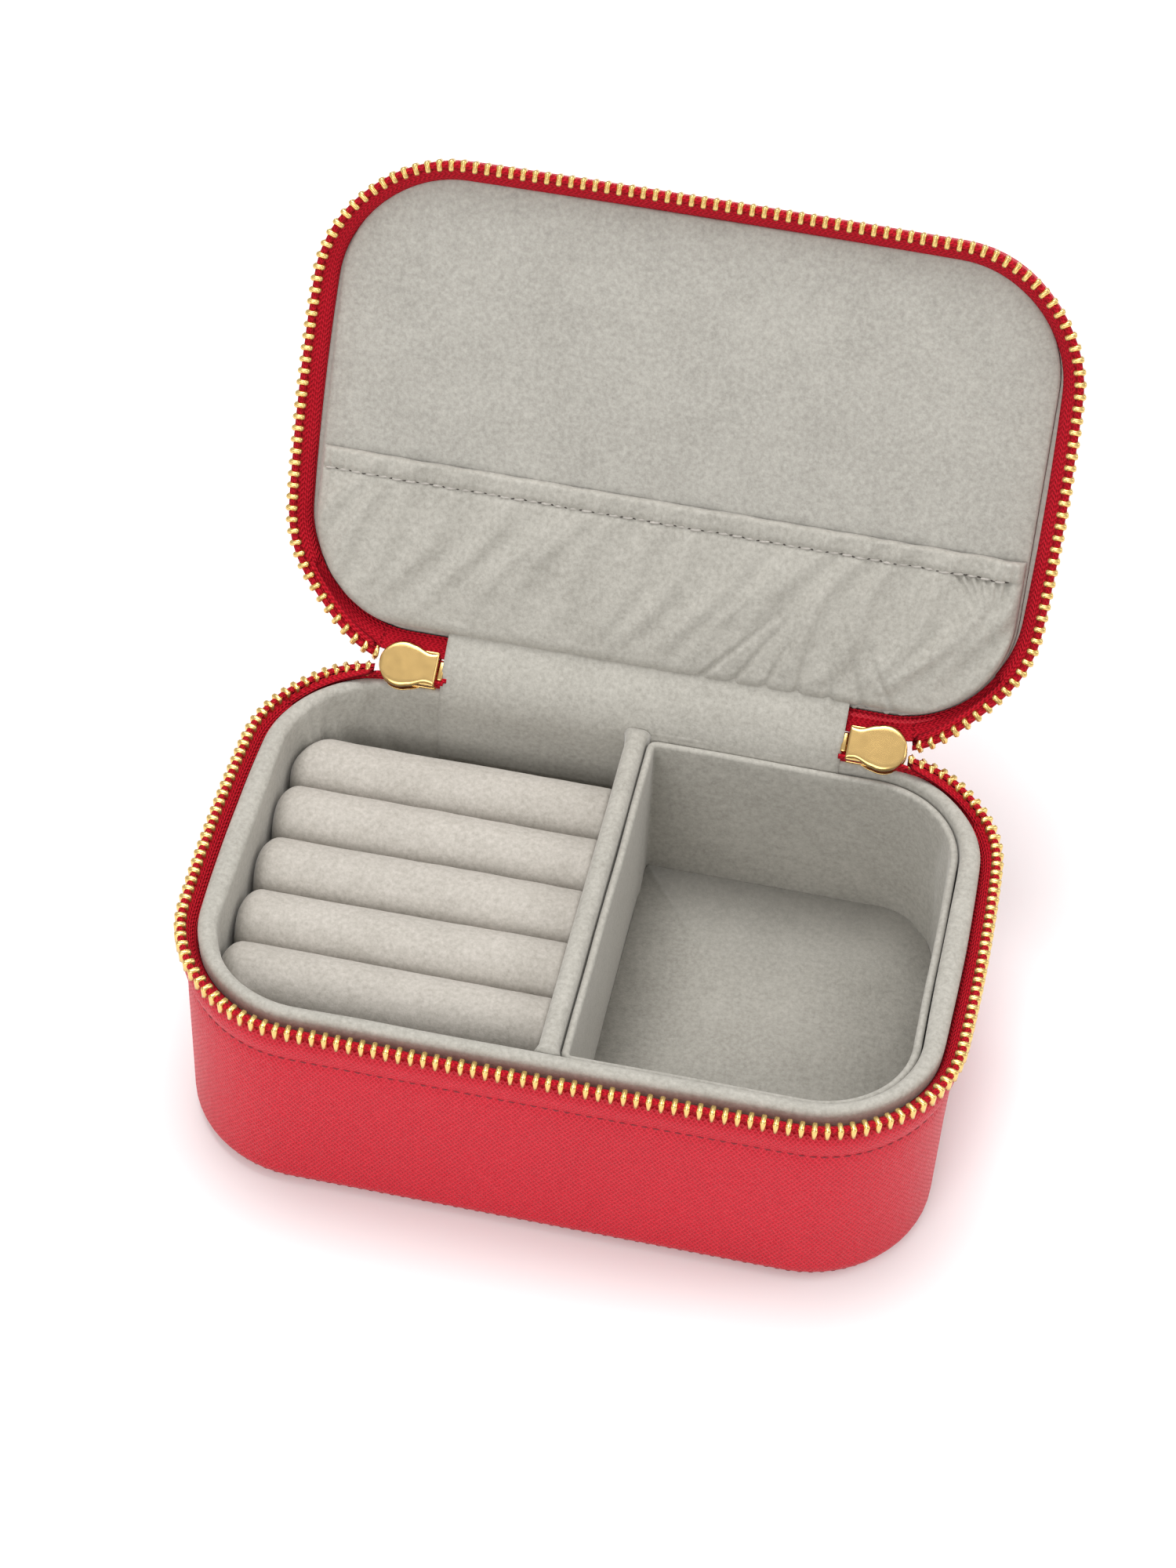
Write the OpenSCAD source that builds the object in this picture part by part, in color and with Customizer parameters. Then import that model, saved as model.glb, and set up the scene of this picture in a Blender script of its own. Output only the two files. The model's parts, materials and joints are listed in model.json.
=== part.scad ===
// Zipped travel ring box: a soft leather-covered box with a hinged lid, a row of ring
// rolls on the left, a drop-in tray on the right and a gathered pocket inside the lid.
// Frame: X to the right, Y to the rear (hinge side), Z up, origin at the bottom centre.
// The lid is drawn shut and then swung open about the hinge line.

/* [Overall] */
// Width of the box over the leather
body_w = 117.6; // [95:0.2:160]
// Depth of the box over the leather
body_d = 77.4; // [66:0.2:120]
// Plan radius of the four upright corners
corner_r = 20; // [16:0.5:26]
// Height of the plane where the two zip rows meet
part_z = 38.7; // [32:0.1:60]
// Height of the lid above that plane
lid_h = 12.5; // [11:0.1:25]
// How far the lid leans back when it is open
open_deg = 118.5; // [95:0.5:125]

/* [Shell] */
// Thickness of the outer leather
leather_t = 1.0; // [0.7:0.1:1.6]
// Radius of the bottom and top edges
edge_r = 3.5; // [2.5:0.1:5]
// Height between the parting plane and each leather lip
lip_gap = 3.3; // [2.5:0.1:5]
// Thickness of the outer wall board
wall_board_t = 0.8; // [0.5:0.1:1.5]
// Thickness of the floor and top boards
flat_board_t = 1.8; // [1:0.1:3]
// Clearance between glued layers
glue_gap = 0.04; // [0.02:0.01:0.1]

/* [Lining] */
// Thickness of the suede cloth
suede_t = 0.5; // [0.3:0.1:1]
// Thickness of the inner wall board
inner_board_t = 1.1; // [0.8:0.1:2]
// How far the rim of the lining stays under the parting plane
rim_drop = 0.2; // [0.1:0.1:1]
// Length of the lining turned over outside the inner board
lining_turn = 14; // [8:0.5:20]
// Thickness of the floor card
floor_card_t = 0.6; // [0.4:0.1:1.5]

/* [Zip] */
// Thickness of the zip tape
tape_t = 0.4; // [0.3:0.05:0.7]
// Depth of tape glued inside the wall
tape_seat = 9; // [6:0.5:12]
// How far the zip line stands out from the wall
zip_out = 0.4; // [0:0.1:1]
// Distance between neighbouring teeth
tooth_pitch = 1.85; // [1.6:0.05:2.5]
// Length of a tooth along the row
tooth_l = 1.0; // [0.7:0.05:1.2]
// Width of a tooth through the tape
tooth_w = 2.2; // [1.6:0.1:2.6]
// Height of a tooth above its tape
tooth_h = 1.5; // [1:0.1:2]
// Gap between the two rows when shut
tooth_gap = 0.05; // [0.03:0.01:0.2]
// Distance from the middle to where the loose rows start
row_start = 44.4; // [43.5:0.1:46]

/* [Slider] */
// Distance from the middle to the tail of a slider
slider_x = 33.5; // [30:0.5:38]
// Length of a slider
slider_l = 9.5; // [8:0.1:12]
// Width of a slider over its round head
slider_w = 7.4; // [6:0.1:9]
// Width of a slider at its tail
slider_tail_w = 6.0; // [5:0.1:8]
// Thickness of each slider plate
plate_t = 0.7; // [0.5:0.05:1]
// Half of the channel between the plates
channel = 0.9; // [0.8:0.05:1.2]
// Room kept round a slider as it tilts
slider_room = 0.5; // [0.3:0.05:1]
// Height of the crown bar over the slider's middle plane
crown_y = 3.9; // [3.8:0.05:5]
// Thickness of the crown bar
crown_t = 0.7; // [0.5:0.05:1]
// Radius of the pull ring at the middle of its wire
ring_r = 2.0; // [1.8:0.05:2.5]
// Radius of the ring wire
wire_r = 0.35; // [0.3:0.05:0.5]
// Distance from the crown bar to the middle of the ring
ring_drop = 0.9; // [0.6:0.05:1]
// Length of the pull tab below its hole
tab_l = 17; // [12:0.5:25]
// Width of the pull tab at its foot
tab_w = 5.4; // [4:0.1:8]
// Thickness of the pull tab
tab_t = 0.7; // [0.5:0.1:0.9]
// Lean of the hanging pull away from the wall
pull_lean = 18; // [15:0.5:30]

/* [Hinge] */
// Half width of the leather and suede hinge panels
hinge_half = 31.4; // [25:0.2:31.4]
// Height of the hinge line above the parting plane
hinge_up = 3.1; // [2.5:0.1:4]
// Height of hinge leather sewn to each wall
hinge_sewn = 4.0; // [3:0.1:8]

/* [Inside] */
// Thickness of the middle divider over its suede
divider_t = 3.2; // [2.4:0.1:5]
// Distance between neighbouring ring rolls
roll_pitch = 11.3; // [9:0.1:14]
// Gap between neighbouring ring rolls
roll_gap = 0.3; // [0.2:0.05:1]
// Shift of the row of rolls towards the hinge
roll_shift = 0.8; // [-2:0.1:2]
// Height of the crest of the rolls
roll_top = 32.5; // [28:0.1:36]
// Height of the foam bed under the rolls
bed_top = 14; // [8:0.5:18]
// Clearance round the drop-in pieces
drop_gap = 0.3; // [0.2:0.05:0.8]
// Wall thickness of the right-hand tray
tray_t = 1.2; // [0.8:0.1:2]
// How far the tray stays under the parting plane
tray_drop = 1.7; // [1:0.1:4]
// Height of the tray floor
tray_floor = 9.5; // [6:0.5:15]

/* [Lid inside] */
// Distance of the lid panel's face from the parting plane
panel_up = 4.2; // [3.8:0.1:6]
// Thickness of the lid panel board
panel_board_t = 1.2; // [0.8:0.1:2]
// Distance from the middle to the pocket's hem
pocket_y = 8.5; // [0:0.5:20]
// Depth of the hem along the pocket
hem_d = 3.5; // [3:0.1:6]
// Thickness of the hem
hem_t = 1.5; // [1.3:0.1:2]
// Open space behind the pocket cloth
pocket_room = 0.8; // [0.5:0.1:2]

/* [Hidden] */
$fn = 48;
eps = 0.02;
// layers, measured inward from the outer face
o_board = leather_t + glue_gap / 2;
o_tape = o_board + wall_board_t + glue_gap / 2;
o_lining = o_tape + tape_t + glue_gap;
o_inner = o_lining + suede_t + glue_gap / 2;
o_inner2 = o_inner + inner_board_t;
o_cavity = o_inner2 + glue_gap / 2 + suede_t;
rim_r = (o_cavity - o_lining) / 2;
o_rim = o_lining + rim_r;
rim_z = part_z - rim_drop;
o_flat = edge_r - 0.3;
floor_z = leather_t + glue_gap + flat_board_t + glue_gap;
inside_z = floor_z + floor_card_t + glue_gap;
lip_z = part_z - lip_gap;
lid_lip_z = part_z + lip_gap;
lid_top = part_z + lid_h;
panel_z = part_z + panel_up;
tape_top = part_z - tooth_gap - tooth_h - 0.05;
cx = body_w / 2 - corner_r;
cy = body_d / 2 - corner_r;
axis_y = body_d / 2 + leather_t + 0.1;
axis_z = part_z + hinge_up;
zip_y = body_d / 2 + zip_out;
half_deg = open_deg / 2;
half_div = divider_t / 2;
o_drop = o_cavity + drop_gap;
div_gap = half_div + drop_gap;
roll_r = (roll_pitch - roll_gap) / 2;
shut_clear = axis_z - 0.3;
notch_z = part_z - slider_w / 2 - slider_room - 0.5;
lid_notch_z = part_z + slider_w / 2 + slider_room + 0.1;
slider_mid = slider_x + slider_l - slider_w / 2;

// ---- helpers ----
// outline of the box, drawn in by o from the outer face
module outline(o) {
  w = body_w - 2 * o;
  d = body_d - 2 * o;
  r = corner_r - o;
  square([w - 2 * r, d], center = true);
  square([w, d - 2 * r], center = true);
  for (sx = [-1, 1]) for (sy = [-1, 1]) translate([sx * (w / 2 - r), sy * (d / 2 - r)]) circle(r);
}

module slab(o, z0, z1) {
  translate([0, 0, z0]) linear_extrude(z1 - z0) outline(o);
}

module wall(o1, o2, z0, z1) {
  translate([0, 0, z0]) linear_extrude(z1 - z0) difference() { outline(o1); outline(o2); }
}

// carries a flat profile (x outward from the wall face, y up) round the outline
module carried() {
  for (i = [0, 2]) rotate([0, 0, 90 * i])
    translate([cx, cy, 0]) rotate_extrude(angle = 90) translate([corner_r, 0]) children();
  for (i = [0, 2]) rotate([0, 0, 90 * i])
    translate([-cx, cy, 0]) rotate([0, 0, 90]) rotate_extrude(angle = 90)
      translate([corner_r, 0]) children();
  for (i = [0, 2]) rotate([0, 0, 90 * i])
    translate([body_w / 2, cy, 0]) rotate([90, 0, 0]) linear_extrude(2 * cy) children();
  for (i = [1, 3]) rotate([0, 0, 90 * i])
    translate([body_d / 2, cx, 0]) rotate([90, 0, 0]) linear_extrude(2 * cx) children();
}

// turns a piece about the hinge line
module about_hinge(a) {
  translate([0, axis_y, axis_z]) rotate([a, 0, 0]) translate([0, -axis_y, -axis_z]) children();
}

module opened() { about_hinge(-open_deg) children(); }
module half_opened() { about_hinge(-half_deg) children(); }

// the space a slider and its zip end need on either side of the hinge, swept by s * half_deg
module slider_space(s) {
  x0 = hinge_half + 0.2;
  x1 = row_start - 0.1;
  hw = slider_w / 2 + slider_room;
  ht = channel + plate_t + slider_room;
  for (a = [0 : 4]) about_hinge(s * half_deg * a / 4)
    for (m = [-1, 1]) translate([m * (x0 + x1) / 2, zip_y, part_z])
      cube([x1 - x0, 2 * ht, 2 * hw], center = true);
}

// a plain notch in a leather lip and its board where a slider passes, from z0 to z1
module slider_notch(z0, z1) {
  x0 = hinge_half + 0.2;
  x1 = row_start - 0.1;
  for (m = [-1, 1]) translate([m * (x0 + x1) / 2, body_d / 2 - 0.5, (z0 + z1) / 2])
    cube([x1 - x0, 5, z1 - z0], center = true);
}

// cuts away the loose rows of the zip behind the hinge
module behind(x) {
  translate([-x, cy, -1]) cube([2 * x, corner_r + 5, part_z + lid_h + 5]);
}

module tooth(z0) {
  translate([-tooth_w / 2, -tooth_l / 2, z0]) cube([tooth_w, tooth_l, tooth_h]);
}

// one row of teeth from z0 up; s shifts the row by a part of the pitch
module tooth_row(z0, s) {
  rt = corner_r + zip_out;
  nx = floor(2 * cx / tooth_pitch);
  ny = floor(2 * cy / tooth_pitch);
  nc = floor(rt * PI / 2 / tooth_pitch);
  for (i = [0 : nx - 1]) translate([-cx + (i + s) * 2 * cx / nx, -body_d / 2 - zip_out, 0])
    rotate([0, 0, 90]) tooth(z0);
  for (m = [-1, 1]) for (i = [0 : ny - 1])
    translate([m * (body_w / 2 + zip_out), -cy + (i + s) * 2 * cy / ny, 0]) tooth(z0);
  for (m = [-1, 1]) for (f = [-1, 1]) for (i = [0 : nc - 1])
    let (a = (i + s) * 90 / nc)
      if (f < 0 || cx + rt * cos(a) > row_start + tooth_l)
        translate([m * (cx + rt * cos(a)), f * (cy + rt * sin(a)), 0])
          rotate([0, 0, m * f * a]) tooth(z0);
}

// ---- base: leather and boards ----
module base_bottom_leather() {
  color([0.75, 0.16, 0.20]) slab(edge_r + glue_gap, 0, leather_t);
}

module edge_profile() {
  translate([-leather_t, edge_r]) square([leather_t, lip_z - edge_r - leather_t / 2]);
  translate([-leather_t / 2, lip_z - leather_t / 2]) circle(leather_t / 2);
  intersection() {
    translate([-edge_r, edge_r]) difference() { circle(edge_r); circle(edge_r - leather_t); }
    translate([-edge_r, 0]) square([edge_r, edge_r]);
  }
}

module base_side_leather() {
  color([0.80, 0.18, 0.23]) difference() {
    carried() edge_profile();
    slider_notch(notch_z, part_z);
  }
}

module base_wall_board() {
  color([0.55, 0.50, 0.42]) difference() {
    wall(o_board, o_board + wall_board_t, edge_r, lip_z - 0.9);
    slider_notch(notch_z, part_z);
  }
}

module base_floor_board() {
  color([0.55, 0.50, 0.42]) slab(o_flat, leather_t + glue_gap, floor_z - glue_gap);
}

module base_floor_card() {
  color([0.62, 0.60, 0.55]) slab(o_lining, floor_z, floor_z + floor_card_t);
}

// ---- base: lining ----
module base_inner_board() {
  color([0.55, 0.50, 0.42]) difference() {
    wall(o_inner, o_inner2, inside_z, rim_z - rim_r - 0.03);
    slider_space(-1);
  }
}

module lining_profile() {
  z = rim_z - rim_r;
  translate([-o_lining - suede_t, z - lining_turn]) square([suede_t, lining_turn]);
  translate([-o_cavity, inside_z]) square([suede_t, z - inside_z]);
  intersection() {
    translate([-o_rim, z]) difference() { circle(rim_r); circle(rim_r - suede_t); }
    translate([-o_cavity, z]) square([2 * rim_r, rim_r]);
  }
}

module base_lining() {
  color([0.72, 0.70, 0.66]) difference() {
    carried() lining_profile();
    slider_space(-1);
  }
}

// ---- base: divider, rolls and tray ----
module divider_board() {
  l = body_d - 2 * o_cavity - 0.2;
  color([0.55, 0.50, 0.42]) translate([-half_div + suede_t + eps, -l / 2, inside_z])
    cube([divider_t - 2 * suede_t - 2 * eps, l, rim_z - half_div - inside_z]);
}

module divider_suede() {
  l = body_d - 2 * o_cavity - 0.2;
  z = rim_z - half_div;
  color([0.72, 0.70, 0.66]) translate([0, l / 2, 0]) rotate([90, 0, 0]) linear_extrude(l) {
    for (m = [-1, 1]) translate([m * (half_div - suede_t / 2) - suede_t / 2, inside_z])
      square([suede_t, z - inside_z]);
    intersection() {
      translate([0, z]) difference() { circle(half_div); circle(half_div - suede_t); }
      translate([-half_div, z]) square([divider_t, half_div]);
    }
  }
}

module left_room(z0, z1) {
  intersection() {
    slab(o_drop, z0, z1);
    translate([-body_w, -body_d, z0]) cube([body_w - div_gap, 2 * body_d, z1 - z0]);
  }
}

module ring_bed() {
  color([0.66, 0.64, 0.60]) left_room(inside_z, bed_top);
}

module ring_roll(n) {
  y = roll_shift + (3 - n) * roll_pitch;
  color([0.76, 0.74, 0.70]) intersection() {
    left_room(bed_top + glue_gap, roll_top);
    translate([-body_w / 2, y, 0]) rotate([90, 0, 90]) linear_extrude(body_w / 2) {
      translate([-roll_r, bed_top]) square([2 * roll_r, roll_top - roll_r - bed_top]);
      translate([0, roll_top - roll_r]) circle(roll_r);
    }
  }
}

module ring_roll_1() { ring_roll(1); }
module ring_roll_2() { ring_roll(2); }
module ring_roll_3() { ring_roll(3); }
module ring_roll_4() { ring_roll(4); }
module ring_roll_5() { ring_roll(5); }

module right_outline(g) {
  intersection() {
    outline(o_drop + g);
    translate([div_gap + g, -body_d]) square([body_w, 2 * body_d]);
  }
}

module tray_wall() {
  color([0.74, 0.72, 0.68]) translate([0, 0, inside_z])
    linear_extrude(part_z - tray_drop - inside_z) difference() {
      right_outline(0);
      right_outline(tray_t);
    }
}

module tray_floor_pad() {
  color([0.74, 0.72, 0.68]) translate([0, 0, inside_z])
    linear_extrude(tray_floor - inside_z) right_outline(tray_t + glue_gap);
}

// ---- base: zip and hinge ----
module tape_profile() {
  z1 = lip_z - 0.2;
  z2 = tape_top - 0.6;
  x1 = -o_tape - tape_t;
  x2 = zip_out - tape_t / 2;
  polygon([[x1, z1 - tape_seat], [x1 + tape_t, z1 - tape_seat], [x1 + tape_t, z1],
    [x2 + tape_t, z2], [x2 + tape_t, tape_top], [x2, tape_top], [x2, z2], [x1, z1 + 0.4]]);
}

module lower_zip_tape() {
  color([0.70, 0.08, 0.14]) difference() {
    carried() tape_profile();
    behind(row_start);
  }
}

module lower_zip_teeth() {
  color([0.83, 0.62, 0.30]) tooth_row(part_z - tooth_gap - tooth_h, 0.25);
}

module hinge_leather_base() {
  color([0.80, 0.18, 0.23])
    translate([-hinge_half, body_d / 2 + 0.05, lip_z - hinge_sewn])
      cube([2 * hinge_half, leather_t, shut_clear - lip_z + hinge_sewn]);
}

module hinge_lining_base() {
  y0 = body_d / 2 - o_rim;
  y1 = axis_y - 1.5;
  z1 = axis_z - 0.9;
  color([0.72, 0.70, 0.66]) translate([-hinge_half, 0, 0]) rotate([90, 0, 90])
    linear_extrude(2 * hinge_half)
      polygon([[y0, rim_z + 0.05], [y0 + rim_r + 0.15, rim_z + 0.05], [y1, z1 - suede_t],
        [y1, z1], [y1 - 0.3, z1], [y0 + rim_r - 0.1, rim_z + 0.05 + suede_t],
        [y0, rim_z + 0.05 + suede_t]]);
}

// ---- lid (drawn shut, shown open) ----
module lid_top_leather() {
  color([0.75, 0.16, 0.20]) opened() slab(edge_r + glue_gap, lid_top - leather_t, lid_top);
}

module lid_edge_profile() {
  z = lid_top - edge_r;
  translate([-leather_t, lid_lip_z + leather_t / 2])
    square([leather_t, z - lid_lip_z - leather_t / 2]);
  translate([-leather_t / 2, lid_lip_z + leather_t / 2]) circle(leather_t / 2);
  intersection() {
    translate([-edge_r, z]) difference() { circle(edge_r); circle(edge_r - leather_t); }
    translate([-edge_r, z]) square([edge_r, edge_r]);
  }
}

module lid_side_leather() {
  color([0.80, 0.18, 0.23]) opened() difference() {
    carried() lid_edge_profile();
    slider_notch(part_z, lid_notch_z);
  }
}

module lid_wall_board() {
  color([0.55, 0.50, 0.42]) opened() difference() {
    wall(o_board, o_board + wall_board_t, lid_lip_z + 0.9, lid_top - edge_r);
    slider_notch(part_z, lid_notch_z);
  }
}

module lid_top_board() {
  z = lid_top - leather_t - glue_gap;
  color([0.55, 0.50, 0.42]) opened() slab(o_flat, z - flat_board_t, z);
}

module lid_foam() {
  z0 = panel_z + suede_t + panel_board_t + 2 * glue_gap;
  z1 = lid_top - leather_t - flat_board_t - 2 * glue_gap;
  color([0.80, 0.79, 0.74]) opened() slab(o_flat, z0, z1);
}

module lid_panel_board() {
  z0 = panel_z + suede_t + glue_gap;
  color([0.55, 0.50, 0.42]) opened()
    slab(o_lining + suede_t + glue_gap, z0, z0 + panel_board_t);
}

module lid_panel_suede() {
  color([0.70, 0.69, 0.65]) opened() union() {
    slab(o_lining, panel_z, panel_z + suede_t);
    wall(o_lining, o_lining + suede_t, panel_z + suede_t, panel_z + suede_t + panel_board_t);
  }
}

module pocket_outline(g) {
  intersection() {
    outline(o_lining + 0.8 + g);
    translate([-body_w, pocket_y]) square([2 * body_w, body_d]);
  }
}

module lid_pocket() {
  z1 = panel_z - glue_gap;
  z0 = z1 - pocket_room - suede_t;
  zh = z1 - 0.1;
  color([0.72, 0.70, 0.66]) opened() difference() {
    union() {
      translate([0, 0, z0]) linear_extrude(z1 - z0) intersection() {
        pocket_outline(0);
        translate([-body_w, pocket_y + hem_d - 0.1]) square([2 * body_w, body_d]);
      }
      translate([0, 0, zh - hem_t]) linear_extrude(hem_t) intersection() {
        pocket_outline(0);
        translate([-body_w, pocket_y]) square([2 * body_w, hem_d]);
      }
    }
    translate([0, 0, z0 + suede_t]) linear_extrude(pocket_room + 1) intersection() {
      pocket_outline(suede_t + 0.5);
      translate([-body_w, pocket_y + hem_d]) square([2 * body_w, body_d]);
    }
    translate([-body_w, pocket_y + 0.5, zh - hem_t + suede_t])
      cube([2 * body_w, hem_d - 1, hem_t - 2 * suede_t]);
  }
}

module pocket_elastic() {
  zh = panel_z - glue_gap - 0.1;
  w = body_w - 2 * o_lining - 4;
  color([0.90, 0.89, 0.86]) opened()
    translate([-w / 2, pocket_y + 0.6, zh - hem_t + suede_t + 0.05])
      cube([w, hem_d - 1.2, hem_t - 2 * suede_t - 0.1]);
}

module lid_tape_profile() {
  z1 = lid_lip_z + 0.2;
  zt = 2 * part_z - tape_top;
  z2 = zt + 0.6;
  x1 = -o_tape - tape_t;
  x2 = zip_out - tape_t / 2;
  s = min(tape_seat, lid_top - edge_r - z1 - 0.2);
  polygon([[x1, z1 + s], [x1 + tape_t, z1 + s], [x1 + tape_t, z1], [x2 + tape_t, z2],
    [x2 + tape_t, zt], [x2, zt], [x2, z2], [x1, z1 - 0.4]]);
}

module upper_zip_tape() {
  color([0.70, 0.08, 0.14]) opened() difference() {
    carried() lid_tape_profile();
    behind(row_start);
  }
}

module upper_zip_teeth() {
  color([0.83, 0.62, 0.30]) opened() tooth_row(part_z + tooth_gap, 0.75);
}

module hinge_leather_lid() {
  color([0.80, 0.18, 0.23]) opened()
    translate([-hinge_half, body_d / 2 + 0.05, axis_z + 0.3])
      cube([2 * hinge_half, leather_t, lid_lip_z + hinge_sewn - axis_z - 0.3]);
}

module hinge_lining_lid() {
  y0 = body_d / 2 - o_lining - 0.5;
  y1 = body_d / 2 - leather_t - 0.15;
  z0 = axis_z + 0.15;
  color([0.72, 0.70, 0.66]) opened() translate([-hinge_half, 0, 0]) rotate([90, 0, 90])
    linear_extrude(2 * hinge_half)
      polygon([[y0, panel_z - glue_gap - suede_t], [y1, z0], [y1, z0 + suede_t],
        [y0, panel_z - glue_gap]]);
}

// ---- zip ends, sliders and pulls; s is -1 on the left and 1 on the right ----
module zip_stop(s) {
  color([0.83, 0.62, 0.30]) half_opened()
    translate([s * (slider_x - 0.9), zip_y, part_z]) cube([1.4, 2.0, 3.4], center = true);
}

module zip_stop_left() { zip_stop(-1); }
module zip_stop_right() { zip_stop(1); }

module zip_tail(s) {
  l = slider_l - 3.2;
  color([0.70, 0.08, 0.14]) half_opened()
    translate([s * (slider_x - 0.15 + l / 2), zip_y, part_z]) {
      cube([l, 0.3, slider_w - 1], center = true);
      cube([l, 1.5, 3.2], center = true);
    }
}

module zip_tail_left() { zip_tail(-1); }
module zip_tail_right() { zip_tail(1); }

module slider_plate() {
  circle(slider_w / 2);
  translate([slider_x - slider_mid, -slider_tail_w / 2])
    square([slider_mid - slider_x, slider_tail_w]);
}

module slider(s) {
  cl = 4.4;
  color([0.85, 0.66, 0.34]) half_opened() translate([s * slider_mid, zip_y, part_z])
    mirror([s < 0 ? 1 : 0, 0, 0]) {
      for (m = [-1, 1]) {
        translate([0, m * (channel + plate_t / 2) + plate_t / 2, 0]) rotate([90, 0, 0])
          linear_extrude(plate_t) slider_plate();
        for (k = [-1, 1])
          translate([slider_x - slider_mid, m > 0 ? 0.35 : -channel - 0.05,
            k > 0 ? slider_tail_w / 2 - 0.5 : -slider_tail_w / 2])
            cube([3.6, channel - 0.3, 0.5]);
      }
      translate([slider_w / 2 - 1.1, channel + 0.1, 0]) rotate([90, 0, 0])
        cylinder(r = 0.8, h = 2 * channel + 0.2);
      for (x = [-cl / 2, cl / 2 - 0.9])
        translate([x - 1.2, channel + plate_t - 0.05, -0.5])
          cube([0.9, crown_y - channel - plate_t + crown_t / 2 + 0.05, 1.0]);
      translate([-cl / 2 - 1.2, crown_y - crown_t / 2, -crown_t / 2]) cube([cl, crown_t, crown_t]);
    }
}

module slider_left() { slider(-1); }
module slider_right() { slider(1); }

// the ring and tab keep the same lean whether the lid is open or shut
function bar_y() = axis_y + (zip_y + crown_y - axis_y) * cos(half_deg)
  + (part_z - axis_z) * sin(half_deg);
function bar_z() = axis_z - (zip_y + crown_y - axis_y) * sin(half_deg)
  + (part_z - axis_z) * cos(half_deg);

module pull_ring(s) {
  color([0.85, 0.66, 0.34])
    translate([s * (slider_mid - 1.2), bar_y() + ring_drop * sin(pull_lean),
      bar_z() - ring_drop * cos(pull_lean)])
      rotate([0, 90, 0]) rotate_extrude() translate([ring_r, 0]) circle(wire_r);
}

module pull_ring_left() { pull_ring(-1); }
module pull_ring_right() { pull_ring(1); }

module pull_tab(s) {
  d = ring_drop + ring_r;
  eye_z = -0.6;
  foot_z = 1 - tab_l + tab_w / 2;
  color([0.85, 0.66, 0.34])
    translate([s * (slider_mid - 1.2), bar_y() + d * sin(pull_lean), bar_z() - d * cos(pull_lean)])
      rotate([pull_lean, 0, 0]) translate([0, tab_t / 2, 0]) rotate([90, 0, 0]) difference() {
        union() {
          translate([0, eye_z, 0]) cylinder(r = 1.75, h = tab_t);
          linear_extrude(tab_t) polygon([[1.6, eye_z - 0.5], [-1.6, eye_z - 0.5],
            [-tab_w / 2, foot_z], [tab_w / 2, foot_z]]);
          translate([0, foot_z, 0]) cylinder(r = tab_w / 2, h = tab_t);
        }
        translate([0, eye_z, -1]) cylinder(r = 1.05, h = tab_t + 2);
        translate([0, foot_z, -1]) cylinder(r = 1.2, h = tab_t + 2);
      }
}

module pull_tab_left() { pull_tab(-1); }
module pull_tab_right() { pull_tab(1); }

base_bottom_leather();
base_side_leather();
base_wall_board();
base_floor_board();
base_floor_card();
base_inner_board();
base_lining();
divider_board();
divider_suede();
ring_bed();
ring_roll_1();
ring_roll_2();
ring_roll_3();
ring_roll_4();
ring_roll_5();
tray_wall();
tray_floor_pad();
lower_zip_tape();
lower_zip_teeth();
hinge_leather_base();
hinge_lining_base();
lid_top_leather();
lid_side_leather();
lid_wall_board();
lid_top_board();
lid_foam();
lid_panel_board();
lid_panel_suede();
lid_pocket();
pocket_elastic();
upper_zip_tape();
upper_zip_teeth();
hinge_leather_lid();
hinge_lining_lid();
zip_stop_left();
zip_stop_right();
zip_tail_left();
zip_tail_right();
slider_left();
slider_right();
pull_ring_left();
pull_ring_right();
pull_tab_left();
pull_tab_right();
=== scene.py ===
import json
import math

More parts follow.
